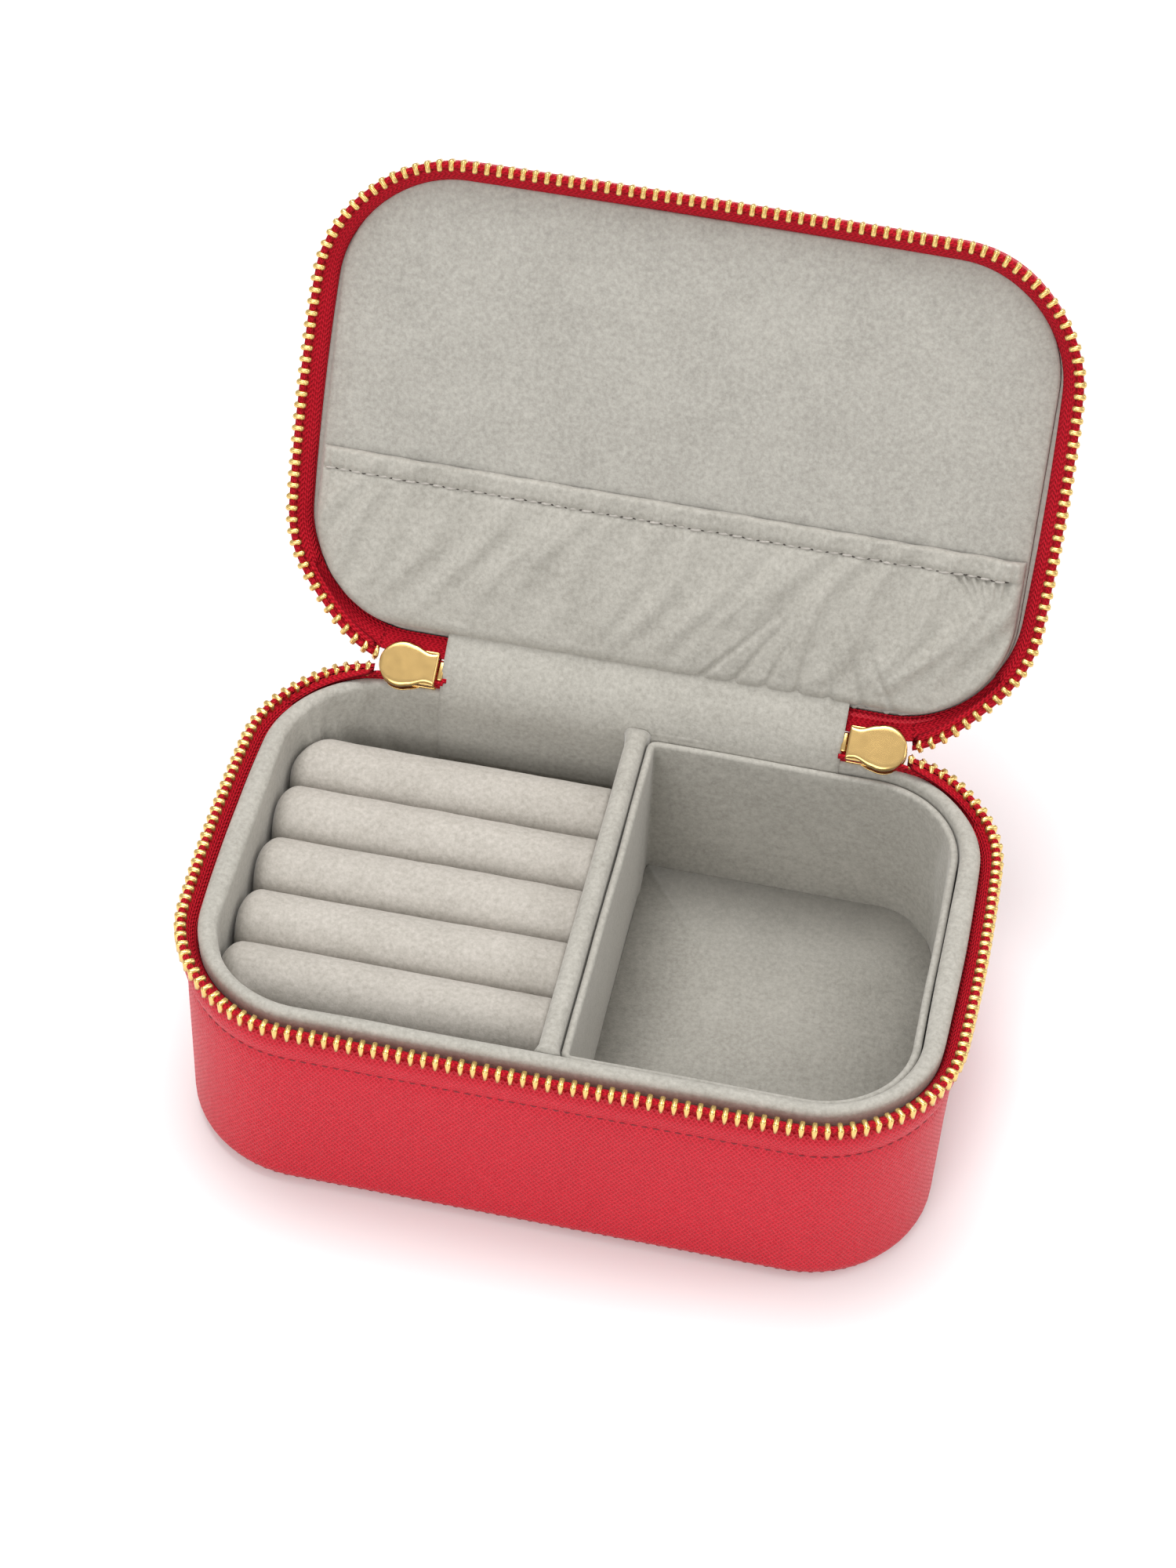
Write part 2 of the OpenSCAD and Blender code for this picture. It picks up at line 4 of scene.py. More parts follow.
import bmesh
import bpy
from mathutils import Matrix, Vector, noise
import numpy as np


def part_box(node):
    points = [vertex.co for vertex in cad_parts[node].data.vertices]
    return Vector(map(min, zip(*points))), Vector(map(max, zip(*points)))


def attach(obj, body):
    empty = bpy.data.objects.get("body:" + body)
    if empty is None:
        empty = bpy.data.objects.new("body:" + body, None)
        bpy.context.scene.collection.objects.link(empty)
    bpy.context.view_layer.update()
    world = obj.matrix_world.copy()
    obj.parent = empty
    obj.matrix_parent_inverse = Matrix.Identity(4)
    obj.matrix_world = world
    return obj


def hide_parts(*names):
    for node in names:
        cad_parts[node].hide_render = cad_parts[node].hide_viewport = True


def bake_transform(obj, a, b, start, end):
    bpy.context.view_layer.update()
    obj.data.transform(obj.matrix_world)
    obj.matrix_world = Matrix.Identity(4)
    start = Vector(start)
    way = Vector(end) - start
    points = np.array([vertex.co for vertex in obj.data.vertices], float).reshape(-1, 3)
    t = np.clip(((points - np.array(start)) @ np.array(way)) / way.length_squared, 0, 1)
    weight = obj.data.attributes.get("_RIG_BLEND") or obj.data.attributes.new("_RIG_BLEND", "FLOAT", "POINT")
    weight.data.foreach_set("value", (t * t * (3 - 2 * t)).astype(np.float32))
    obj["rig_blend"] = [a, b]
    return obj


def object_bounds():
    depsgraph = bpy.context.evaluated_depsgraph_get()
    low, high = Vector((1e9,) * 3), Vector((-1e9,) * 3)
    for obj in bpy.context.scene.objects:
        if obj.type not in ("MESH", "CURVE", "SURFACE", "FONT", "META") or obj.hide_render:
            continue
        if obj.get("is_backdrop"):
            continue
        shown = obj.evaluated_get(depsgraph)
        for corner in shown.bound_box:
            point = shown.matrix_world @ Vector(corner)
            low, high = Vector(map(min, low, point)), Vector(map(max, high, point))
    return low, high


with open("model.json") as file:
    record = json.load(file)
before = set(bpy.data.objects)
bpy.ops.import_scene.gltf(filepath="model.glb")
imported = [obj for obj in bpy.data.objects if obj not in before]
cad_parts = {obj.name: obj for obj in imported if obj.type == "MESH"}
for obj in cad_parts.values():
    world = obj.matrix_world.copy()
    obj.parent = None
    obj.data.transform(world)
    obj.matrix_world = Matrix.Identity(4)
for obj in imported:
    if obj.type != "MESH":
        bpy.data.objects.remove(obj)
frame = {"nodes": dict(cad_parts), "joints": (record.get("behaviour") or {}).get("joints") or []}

cad_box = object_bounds()
mm = 0.001

# ---- Camera, floor and lights ----
# A long lens looks down on the open box from the front and a little to the right.
# The floor is plain white, under one large soft light overhead and two weaker fills.
azimuth, elevation, roll = math.radians(9.62), math.radians(46.57), math.radians(3.07)
look_at = Vector((-4.94, 18.5, 40.54)) * mm
distance = 615.7 * mm
away = Vector((math.sin(azimuth) * math.cos(elevation),
               -math.cos(azimuth) * math.cos(elevation), math.sin(elevation)))
across = Vector((math.cos(azimuth), math.sin(azimuth), 0))
upward = away.cross(across)
right = math.cos(roll) * across + math.sin(roll) * upward
top = math.cos(roll) * upward - math.sin(roll) * across
camera = bpy.data.objects.new("camera", bpy.data.cameras.new("camera"))
camera.data.lens = 90
camera.data.sensor_width = 36
camera.matrix_world = (Matrix.Translation(look_at + away * distance)
                       @ Matrix((right, top, away)).transposed().to_4x4())
bpy.context.scene.collection.objects.link(camera)
bpy.context.scene.camera = camera
bpy.context.scene.view_settings.view_transform = "Standard"


def shader(name):
    """A material with its node tree, its Principled shader and a function that adds a node."""
    material = bpy.data.materials.new(name)
    material.use_nodes = True
    tree = material.node_tree
    surface = tree.nodes["Principled BSDF"]

    def add(kind, inputs, **settings):
        made = tree.nodes.new("ShaderNode" + kind)
        for key, value in settings.items():
            setattr(made, key, value)
        for key, value in inputs.items():
            if isinstance(value, bpy.types.NodeSocket):
                tree.links.new(value, made.inputs[key])
            else:
                made.inputs[key].default_value = value
        return made

    def sums(operation, a, b=0.0):
        return add("Math", {0: a, 1: b}, operation=operation).outputs[0]

    def put(key, value):
        if isinstance(value, bpy.types.NodeSocket):
            tree.links.new(value, surface.inputs[key])
        else:
            surface.inputs[key].default_value = value

    return material, add, sums, put


def plain_link(obj):
    bpy.context.scene.collection.objects.link(obj)
    return obj


bm = bmesh.new()
bmesh.ops.create_grid(bm, x_segments=8, y_segments=8, size=2.5)
floor_mesh = bpy.data.meshes.new("floor")
bm.to_mesh(floor_mesh)
bm.free()
floor = plain_link(bpy.data.objects.new("floor", floor_mesh))
floor_white, add, sums, put = shader("floor_white")
put("Base Color", (0.93, 0.93, 0.93, 1))
put("Roughness", 0.65)
put("Specular IOR Level", 0.25)
floor_mesh.materials.append(floor_white)
floor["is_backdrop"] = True


def lamp(name, where, size, power, colour=(1, 1, 1)):
    light = bpy.data.lights.new(name, "AREA")
    light.shape = "DISK"
    light.size = size
    light.energy = power
    light.color = colour
    obj = plain_link(bpy.data.objects.new(name, light))
    spot = Vector(where)
    obj.matrix_world = Matrix.Translation(spot) @ spot.to_track_quat("Z", "Y").to_matrix().to_4x4()


lamp("key_light", (-0.12, 0.22, 1.25), 0.75, 9.5)
lamp("front_fill", (-0.20, -1.15, 0.75), 0.9, 7.5)
lamp("right_fill", (1.0, 0.15, 0.8), 0.8, 3.2)
world = bpy.data.worlds.new("studio")
world.use_nodes = True
world.node_tree.nodes["Background"].inputs["Color"].default_value = (1, 1, 1, 1)
world.node_tree.nodes["Background"].inputs["Strength"].default_value = 0.68
bpy.context.scene.world = world

# ---- Side leather of the base ----
# One strip of red cross-grain leather, wrapped round the wall board and turned in over its
# lip. The band above the sewn line is padded; the lower edge is drawn under the box.
leather_low, leather_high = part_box("base_side_leather")
body_w = leather_high.x - leather_low.x
body_d = leather_high.y - leather_low.y
hinge = next(j for j in frame["joints"] if j["name"] == "lid_hinge")
pivot = Vector(hinge["pos_m"])
open_angle = math.radians(hinge["range_deg"][1])
hinge_rise = 3.1 * mm
lid_h = 12.5 * mm
corner_r = 20 * mm
part_z = pivot.z - hinge_rise
lid_top = part_z + lid_h
core = Vector((body_w / 2 - corner_r, body_d / 2 - corner_r))


def leant(share):
    """The turn about the hinge line that takes a shut place to its open one, at a share of it."""
    return (Matrix.Translation(pivot) @ Matrix.Rotation(-open_angle * share, 4, "X")
            @ Matrix.Translation(-pivot))


def swung(bm, share=1):
    """Turns a piece drawn with the lid shut to where it is with the lid open."""
    bmesh.ops.transform(bm, matrix=leant(share), verts=bm.verts)


def bowed(spot, lid=False):
    """The zip line stands out a little at the middle of each side, where nothing stiffens it."""
    rise = (2 * part_z - spot.z if lid else spot.z) / part_z
    weight = max(0.0, min(1.0, (rise - 0.35) / 0.6)) ** 2
    x, y = spot.x, spot.y
    side = max(0.0, 1 - (y / (core.y + 0.75 * corner_r)) ** 2)
    front = max(0.0, 1 - (x / (core.x + 0.6 * corner_r)) ** 2)
    side_bow, front_bow = 1.5 * mm, 0.5 * mm
    moved = spot.copy()
    if abs(x) > core.x:
        past = min(1, (abs(x) - core.x) / corner_r * 1.6)
        moved.x += math.copysign(side_bow * side * weight, x) * past
    if y < -core.y:
        moved.y -= front_bow * front * weight * min(1, (-y - core.y) / corner_r * 1.6)
    return moved


def softened(bm, geom, offset, segments, affect="EDGES"):
    """Rounds edges, or the corners of a flat outline."""
    bmesh.ops.bevel(bm, geom=geom, offset=offset, offset_type="OFFSET", segments=segments,
                    profile=0.5, affect=affect, material=-1)


def verts_of(geom):
    """The verts in what an operator gives back."""
    return [g for g in geom if isinstance(g, bmesh.types.BMVert)]


def drawn_outline(bm, inward, z, step=2.0 * mm, arc=14):
    """The plan of the box, drawn in from its outer face; the run layer is the length round it.
    A very short edge at the middle of the back is where that length starts again."""
    verts = bmesh.ops.create_grid(bm, x_segments=1, y_segments=1, size=0.5)["verts"]
    bmesh.ops.scale(bm, vec=(body_w - 2 * inward, body_d - 2 * inward, 1), verts=verts)
    bmesh.ops.translate(bm, vec=(0, 0, z), verts=verts)
    softened(bm, verts, corner_r - inward, arc, affect="VERTICES")
    for edge in [e for e in bm.edges if e.calc_length() > 3 * step]:
        cuts = int(edge.calc_length() / step) // 2 * 2 + 1
        bmesh.ops.subdivide_edges(bm, edges=[edge], cuts=cuts)
    run = bm.verts.layers.float.new("run")
    rise = bm.verts.layers.float.new("rise")
    last = min(bm.verts, key=lambda v: abs(v.co.x) - v.co.y).link_edges[1]
    split = bmesh.ops.bisect_edges(bm, edges=[last], cuts=1, edge_percents={})["geom_split"]
    seam = verts_of(split)[0]
    start = min((e.other_vert(seam) for e in seam.link_edges), key=lambda v: abs(v.co.x))
    seam.co = start.co.lerp(seam.co, 0.05 * mm / (seam.co - start.co).length)
    edge = next(e for e in start.link_edges if e.other_vert(start) != seam)
    vert, length = start, 0.0
    while True:
        vert[run] = length
        vert[rise] = z
        length += edge.calc_length()
        vert = edge.other_vert(vert)
        if vert == start:
            break
        edge = next(e for e in vert.link_edges if e != edge)
    return [e for e in bm.edges]


def open_outline(inward, z, step=2.0 * mm, arc=14):
    """A new mesh that holds only the edges of the outline."""
    bm = bmesh.new()
    edges = drawn_outline(bm, inward, z, step, arc)
    bmesh.ops.delete(bm, geom=list(bm.faces), context="FACES_ONLY")
    return bm, edges


def next_ring(bm, loop):
    """Grows a loop of edges into a new row of faces, and gives the new loop and its verts."""
    grown = bmesh.ops.extrude_edge_only(bm, edges=loop)["geom"]
    verts = set(verts_of(grown))
    loop = [g for g in grown if isinstance(g, bmesh.types.BMEdge) and set(g.verts) <= verts]
    return loop, verts


def wall_rings(bm, edges, profile, closed=True):
    """Draws a wall up or down from a flat outline through (outward, z) steps, all from its face."""
    rise = bm.verts.layers.float["rise"]
    loop, verts = edges, {v for e in edges for v in e.verts}
    last_out, last_z = 0.0, profile[0][1]
    for number, (out, z) in enumerate(profile):
        if number:
            loop, verts = next_ring(bm, loop)
        ring = {v: [] for v in verts}
        for e in loop:
            for v in e.verts:
                ring[v].append(e)
        outward = {}
        for v, beside in ring.items():
            total = Vector((0, 0))
            for e in beside:
                d = e.other_vert(v).co - v.co
                n = Vector((d.y, -d.x)).normalized()
                total += n if n.dot(v.co.xy) > 0 else -n
            outward[v] = total.normalized()
        for v, n in outward.items():
            v.co.x += n.x * (out - last_out)
            v.co.y += n.y * (out - last_out)
            v.co.z = z
            if number:
                v[rise] += math.hypot(out - last_out, z - last_z)
        last_out, last_z = out, z
    if closed:
        bmesh.ops.bridge_loops(bm, edges=edges + loop)
    return loop


def round_steps(centre, radius, start, end, count):
    """Points on an arc of a wall's profile, from start to end in degrees."""
    return [(centre[0] + radius * math.cos(math.radians(start + (end - start) * i / count)),
             centre[1] + radius * math.sin(math.radians(start + (end - start) * i / count)))
            for i in range(count + 1)]


def made(bm, name, material, slot, body=None, replaced=(), smooth=True):
    """Turns a finished mesh into a named piece, with its body and replaced nodes. The slot argument is not
    used.
    """
    bmesh.ops.recalc_face_normals(bm, faces=bm.faces)
    mesh = bpy.data.meshes.new(name)
    bm.to_mesh(mesh)
    bm.free()
    mesh.polygons.foreach_set("use_smooth", [smooth] * len(mesh.polygons))
    mesh.materials.append(material)
    obj = plain_link(bpy.data.objects.new(name, mesh))
    if body:
        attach(obj, body)
    if replaced:
        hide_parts(*replaced)
    return obj


def tones(add, factor, dark, light, low=0.0, high=1.0):
    """A colour that goes from dark to light as a factor goes from low to high."""
    ramp = add("ValToRGB", {"Fac": factor})
    for end, colour, place in zip(ramp.color_ramp.elements, (dark, light), (low, high)):
        end.color = colour
        end.position = place
    return ramp.outputs[0]


def grain_leather(name, colour, deep):
    """Red leather pressed with fine crossing lines, under a millimetre apart, with a light gloss."""
    material, add, sums, put = shader(name)
    run = add("Attribute", {}, attribute_name="run").outputs["Fac"]
    rise = add("Attribute", {}, attribute_name="rise").outputs["Fac"]
    place = add("CombineXYZ", {0: run, 1: rise}).outputs[0]
    drift = add("TexNoise", {"Vector": place, "Scale": 260.0, "Detail": 2.0}).outputs["Fac"]
    sway = sums("MULTIPLY", drift, 0.0009)
    lines = []
    for sign in (1, -1):
        diagonal = sums("ADD", sums("MULTIPLY", rise, 0.8 * sign), run)
        swayed = sums("ADD", diagonal, sway)
        lines.append(sums("SINE", sums("MULTIPLY", swayed, 2 * math.pi / (0.82 * mm))))
    crossed = sums("MAXIMUM", lines[0], lines[1])
    broken = add("TexNoise", {"Vector": place, "Scale": 900.0, "Detail": 3.0}).outputs["Fac"]
    height = sums("MULTIPLY", sums("ADD", crossed, 1.0), sums("ADD", broken, 0.25))
    bump = add("Bump", {"Height": height, "Strength": 0.9, "Distance": 0.16 * mm})
    put("Normal", bump.outputs[0])
    cloud = add("TexNoise", {"Vector": place, "Scale": 45.0, "Detail": 3.0}).outputs["Fac"]
    shade = sums("ADD", sums("MULTIPLY", height, 0.30), sums("MULTIPLY", cloud, 0.38))
    put("Base Color", tones(add, shade, deep, colour, 0.15, 0.55))
    put("Roughness", sums("ADD", sums("MULTIPLY", broken, 0.16), 0.36))
    put("Specular IOR Level", 0.28)
    put("Coat Weight", 0.05)
    put("Coat Roughness", 0.3)
    return material


leather_red = grain_leather("leather_red", (0.60, 0.011, 0.028, 1), (0.44, 0.004, 0.014, 1))
sewn_z = 30.5 * mm
edge_r = 3.5 * mm
base_profile = (
    round_steps((-edge_r, edge_r), edge_r, -88, 0, 8)
    + [(0.05 * mm, 9 * mm), (0.12 * mm, 15 * mm), (0.14 * mm, 21 * mm), (0.1 * mm, 26 * mm),
       (0.0, 29 * mm), (-0.16 * mm, 30 * mm), (-0.32 * mm, sewn_z), (-0.12 * mm, 31 * mm),
       (0.24 * mm, 31.8 * mm), (0.52 * mm, 33.0 * mm), (0.48 * mm, 34.2 * mm),
       (0.14 * mm, 35.1 * mm), (-0.38 * mm, 35.62 * mm), (-0.85 * mm, 35.72 * mm),
       (-1.25 * mm, 35.45 * mm), (-1.4 * mm, 34.8 * mm), (-1.4 * mm, 32 * mm),
       (-1.0 * mm, 29 * mm), (-1.0 * mm, edge_r)]
    + round_steps((-edge_r, edge_r), edge_r - 1.0 * mm, 0, -88, 6))
bm, edges = open_outline(0, 0)
wall_rings(bm, edges, base_profile)
for v in bm.verts:
    v.co = bowed(v.co)
made(bm, "base_leather_wall", leather_red, "leather_red", "base", ["base_side_leather"])

# ---- Bottom panel ----
# A flat leather panel closes the underside, glued to the floor board inside the drawn-under
# edge of the side strip.


def flat_grain(bm):
    """Lets the grain of a flat panel follow x and y."""
    run, rise = bm.verts.layers.float["run"], bm.verts.layers.float["rise"]
    for v in bm.verts:
        v[run], v[rise] = v.co.x, v.co.y


bm, edges = open_outline(edge_r - 0.25 * mm, 0)
loop = wall_rings(bm, edges, [(0, 0.9 * mm), (0, 0.3 * mm), (-0.3 * mm, 0.0)], closed=False)
bmesh.ops.contextual_create(bm, geom=loop)
bmesh.ops.contextual_create(bm, geom=edges)
flat_grain(bm)
made(bm, "base_leather_bottom", leather_red, "leather_red", "base", ["base_bottom_leather"])

# ---- Boards and foam ----
# Grey card stiffens the walls, floor, divider and lid; foam fills the lid and lies under the
# rings. All of it is glued between leather and suede, and hardly shows.


def painted(names, material):
    """Gives a material to the solids that are seen as they are."""
    for name in names:
        frame["nodes"][name].data.materials.clear()
        frame["nodes"][name].data.materials.append(material)


greyboard, add, sums, put = shader("greyboard")
spot = add("TexCoord", {}).outputs["Object"]
pulp = add("TexNoise", {"Vector": spot, "Scale": 1500.0, "Detail": 4.0}).outputs["Fac"]
put("Base Color", tones(add, pulp, (0.26, 0.24, 0.21, 1), (0.44, 0.42, 0.38, 1)))
put("Roughness", 0.9)
put("Normal", add("Bump", {"Height": pulp, "Strength": 0.4, "Distance": 0.08 * mm}).outputs[0])
painted(("base_wall_board", "base_floor_board", "base_floor_card", "base_inner_board",
         "divider_board", "lid_wall_board", "lid_top_board", "lid_panel_board"), greyboard)

foam_grey, add, sums, put = shader("foam_grey")
spot = add("TexCoord", {}).outputs["Object"]
cells = add("TexVoronoi", {"Vector": spot, "Scale": 2200.0}).outputs["Distance"]
put("Base Color", tones(add, cells, (0.40, 0.39, 0.36, 1), (0.62, 0.60, 0.56, 1)))
put("Roughness", 0.95)
put("Normal", add("Bump", {"Height": cells, "Strength": 0.5, "Distance": 0.1 * mm}).outputs[0])
painted(("lid_foam",), foam_grey)

elastic_white, add, sums, put = shader("elastic_white")
spot = add("TexCoord", {}).outputs["Object"]
along = add("SeparateXYZ", {0: spot}).outputs[0]
rib = sums("SINE", sums("MULTIPLY", along, 2 * math.pi / (0.8 * mm)))
put("Base Color", (0.80, 0.79, 0.75, 1))
put("Roughness", 0.8)
put("Normal", add("Bump", {"Height": rib, "Strength": 0.6, "Distance": 0.1 * mm}).outputs[0])
painted(("pocket_elastic",), elastic_white)

# ---- Suede lining of the base ----
# Grey suede cloth is wrapped over the inner wall board, with a soft round rim. It puckers in
# upright folds where it turns the corners.


def suede(name, dark, light, mottle=1.0):
    """Brushed suede cloth: short nap that catches light unevenly, in soft clouds and fine flecks."""
    material, add, sums, put = shader(name)
    spot = add("TexCoord", {}).outputs["Object"]
    cloud = add("TexNoise", {"Vector": spot, "Scale": 110.0, "Detail": 3.0, "Roughness": 0.6})
    fleck = add("TexNoise", {"Vector": spot, "Scale": 1300.0, "Detail": 4.0, "Roughness": 0.7})
    nap = add("TexNoise", {"Vector": spot, "Scale": 3200.0, "Detail": 2.0})
    tone = sums("ADD", sums("MULTIPLY", cloud.outputs["Fac"], 0.24 * mottle),
                sums("MULTIPLY", fleck.outputs["Fac"], 0.76))
    put("Base Color", tones(add, tone, dark, light, 0.32, 0.66))
    put("Roughness", 0.93)
    put("Specular IOR Level", 0.12)
    put("Sheen Weight", 0.35)
    put("Sheen Roughness", 0.45)
    put("Sheen Tint", (0.93, 0.91, 0.87, 1))
    height = sums("ADD", sums("MULTIPLY", fleck.outputs["Fac"], 0.6),
                  sums("MULTIPLY", nap.outputs["Fac"], 0.4))
    put("Normal", add("Bump", {"Height": height, "Strength": 0.55, "Distance": 0.16 * mm}).outputs[0])
    return material


suede_grey = suede("suede_grey", (0.305, 0.29, 0.255, 1), (0.455, 0.435, 0.39, 1))
lining_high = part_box("base_lining")[1]
rim_z = lining_high.z
lining_out = body_w / 2 - lining_high.x
cavity_in = 4.42 * mm
rim_round = (cavity_in - lining_out) / 2
rim_mid = (-(lining_out + cavity_in) / 2, rim_z - rim_round)
inside_z = 3.55 * mm
lining_t = 0.5 * mm
skirt_z = 24 * mm


def fold(x, width):
    """A narrow raised fold, one at its crest and nothing a width away."""
    return math.exp(-(x / width) ** 2)


lining_profile = ([(-lining_out - 0.05 * mm, skirt_z), (-lining_out - 0.05 * mm, 30 * mm)]
                  + round_steps(rim_mid, rim_round, 0, 180, 10)
                  + [(-cavity_in, z * mm) for z in (36, 34, 31, 28, 25, 21, 17, 13, 9, 5)]
                  + [(-cavity_in, inside_z), (-cavity_in + lining_t, inside_z),
                     (-cavity_in + lining_t, skirt_z)])
bm, edges = open_outline(0, 0, step=1.1 * mm, arc=28)
wall_rings(bm, edges, lining_profile)
puckers = [(-49.0, 30.0, 0.55), (-46.0, 32.0, 0.4), (-51.5, 26.5, 0.5), (-42.5, 33.4, 0.35),
           (-53.2, 22.0, 0.3), (-39.0, 34.0, 0.25), (-53.9, 10.0, 0.22), (-53.9, -8.0, 0.25),
           (-52.5, -25.0, 0.3), (-48.0, -31.0, 0.3), (51.5, 26.5, 0.25), (53.5, 18.0, 0.2)]
for v in bm.verts:
    plan = v.co.xy
    inner = Vector((max(-core.x, min(core.x, plan.x)), max(-core.y, min(core.y, plan.y))))
    from_core = plan - inner
    away_from = from_core.normalized()
    shown = from_core.length < corner_r - 3.5 * mm or v.co.z > 36 * mm
    depth = max(0.0, min(1.0, (rim_z - v.co.z) / (5 * mm)))
    move = 0.12 * mm * noise.noise(v.co * 90)
    for px, py, strength in puckers:
        gap = (plan - Vector((px, py)) * mm).length
        bend = 1.6 * mm * math.sin(v.co.z * 170 + px)
        move -= 1.9 * strength * mm * depth * fold(gap + bend, 0.75 * mm)
    v.co.x += away_from.x * move * shown
    v.co.y += away_from.y * move * shown
    past = (from_core.length - corner_r + cavity_in) / (cavity_in - lining_out)
    v.co = v.co.lerp(bowed(v.co), max(0.0, min(1.0, past)))
    v.co.z += 0.18 * mm * noise.noise(plan.to_3d() * 70) * (v.co.z > 36 * mm)
lining = made(bm, "base_lining_cloth", suede_grey, "suede_grey", "base", ["base_lining"])

# ---- Middle divider ----
# A stiff card wrapped in the same suede stands between the rings and the tray.
div_low, div_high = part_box("divider_suede")
bm = bmesh.new()
bmesh.ops.create_cube(bm, size=1)
bmesh.ops.scale(bm, vec=div_high - div_low, verts=bm.verts)
bmesh.ops.translate(bm, vec=(div_high + div_low) / 2, verts=bm.verts)
crest = [e for e in bm.edges if all(v.co.z > div_high.z - mm for v in e.verts)
         and abs(e.verts[0].co.y - e.verts[1].co.y) > mm]
softened(bm, crest, 1.45 * mm, 6)
long_edges = [e for e in bm.edges if abs(e.verts[0].co.y - e.verts[1].co.y) > mm]
bmesh.ops.subdivide_edges(bm, edges=long_edges, cuts=40, use_grid_fill=True)
for v in bm.verts:
    sway = noise.noise(Vector((0, v.co.y, v.co.z * 0.4)) * 60)
    v.co.x += 0.22 * mm * sway
    v.co.z += 0.15 * mm * noise.noise(Vector((3, v.co.y, 0)) * 80) * (v.co.z > 30 * mm)
    flare = max(0, abs(v.co.y) - (div_high.y - 1.5 * mm)) / (1.5 * mm)
    v.co.x += math.copysign(0.6 * mm * flare ** 2, v.co.x)
made(bm, "divider_cloth", suede_grey, "suede_grey", "base", ["divider_suede"])

# ---- Ring rolls ----
# Five foam rolls, each sewn into a suede sleeve, stand side by side on a foam bed and grip
# the rings between them. Their left ends are drawn in to a soft dome against the wall.
suede_roll = suede("suede_roll", (0.35, 0.325, 0.285, 1), (0.51, 0.475, 0.43, 1))
for number in range(1, 6):
    low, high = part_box(f"ring_roll_{number}")
    half = (high.y - low.y) / 2 + 0.12 * mm
    middle = (high.y + low.y) / 2
    straight = high.z - low.z - half
    girth = 2 * straight + math.pi * half
    right_end = high.x + 0.25 * mm
    bm = bmesh.new()
    bmesh.ops.create_grid(bm, x_segments=64, y_segments=44, size=1)
    for v in bm.verts:
        u, w = v.co.x, (v.co.y + 1) / 2 * girth
        if w < straight:
            y, z = -half, low.z + w
        elif w > girth - straight:
            y, z = half, low.z + girth - w
        else:
            turn = (w - straight) / half
            y, z = -half * math.cos(turn), high.z - half + half * math.sin(turn)
        wall = abs(middle + y)
        r = corner_r - cavity_in
        left_end = -core.x - (r if wall < core.y else math.sqrt(max(r * r - (wall - core.y) ** 2, 0)))
        left_end = max(left_end + 0.2 * mm, low.x - 0.4 * mm)
        dome = 3.2 * mm
        x = left_end + (right_end - left_end) * (math.sin(u * math.pi / 2) / 2 + 0.5)
        near = max(0.0, 1 - (x - left_end) / dome)
        far = max(0.0, 1 - (right_end - x) / (1.2 * mm))
        shrink = math.sqrt(max(0.0, 1 - near ** 2)) * 0.62 + 0.38
        drop = 1 - 0.32 * far ** 2
        shrink = min(shrink, drop) if near < 1 else 0.0
        if near >= 1 or far >= 1:
            shrink = 0.0
        y *= shrink
        z = low.z + (z - low.z) * (1 - (1 - shrink) * 0.38)
        soft = noise.noise(Vector((x * 0.5, middle + y, z)) * 70 + Vector((0, 0, number)))
        fine = noise.noise(Vector((x, y * 2, number)) * 260)
        lift = (0.28 * soft + 0.07 * fine) * mm * (1 if shrink > 0.5 else 0)
        v.co = Vector((x, middle + y + lift * 0.5 * math.copysign(1, y), z + lift))
    bmesh.ops.remove_doubles(bm, verts=bm.verts, dist=0.005 * mm)
    bmesh.ops.holes_fill(bm, edges=[e for e in bm.edges if e.is_boundary], sides=0)
    roll = made(bm, f"roll_{number}", suede_roll, "suede_roll", "base", [f"ring_roll_{number}"])

# The bed under the rolls is foam with the same suede glued over it.
low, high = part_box("ring_bed")
bm = bmesh.new()
drawn_outline(bm, cavity_in + 0.25 * mm, low.z)
bmesh.ops.bisect_plane(bm, geom=bm.verts[:] + bm.edges[:] + bm.faces[:], plane_co=(high.x, 0, 0),
                       plane_no=(1, 0, 0), clear_outer=True)
bmesh.ops.inset_region(bm, faces=bm.faces[:], thickness=0.01 * mm, use_even_offset=True)
inner = max(bm.faces, key=lambda f: f.calc_area())
grown = bmesh.ops.extrude_face_region(bm, geom=[inner])["geom"]
bmesh.ops.translate(bm, vec=(0, 0, high.z - low.z), verts=verts_of(grown))
if inner.is_valid:
    bmesh.ops.delete(bm, geom=[inner], context="FACES_ONLY")
rim_edges = [e for e in bm.edges if all(v.co.z > high.z - 0.1 * mm for v in e.verts)]
softened(bm, rim_edges, 0.8 * mm, 3)
bed = made(bm, "roll_bed", suede_roll, "foam_grey", "base", ["ring_bed"])

# ---- Right-hand tray ----
# A thin card tray covered in suede drops into the right side. It is square against the
# divider, follows the round corners on the right, and has a padded floor.
tray_low, tray_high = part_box("tray_wall")
pad_low, pad_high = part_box("tray_floor_pad")


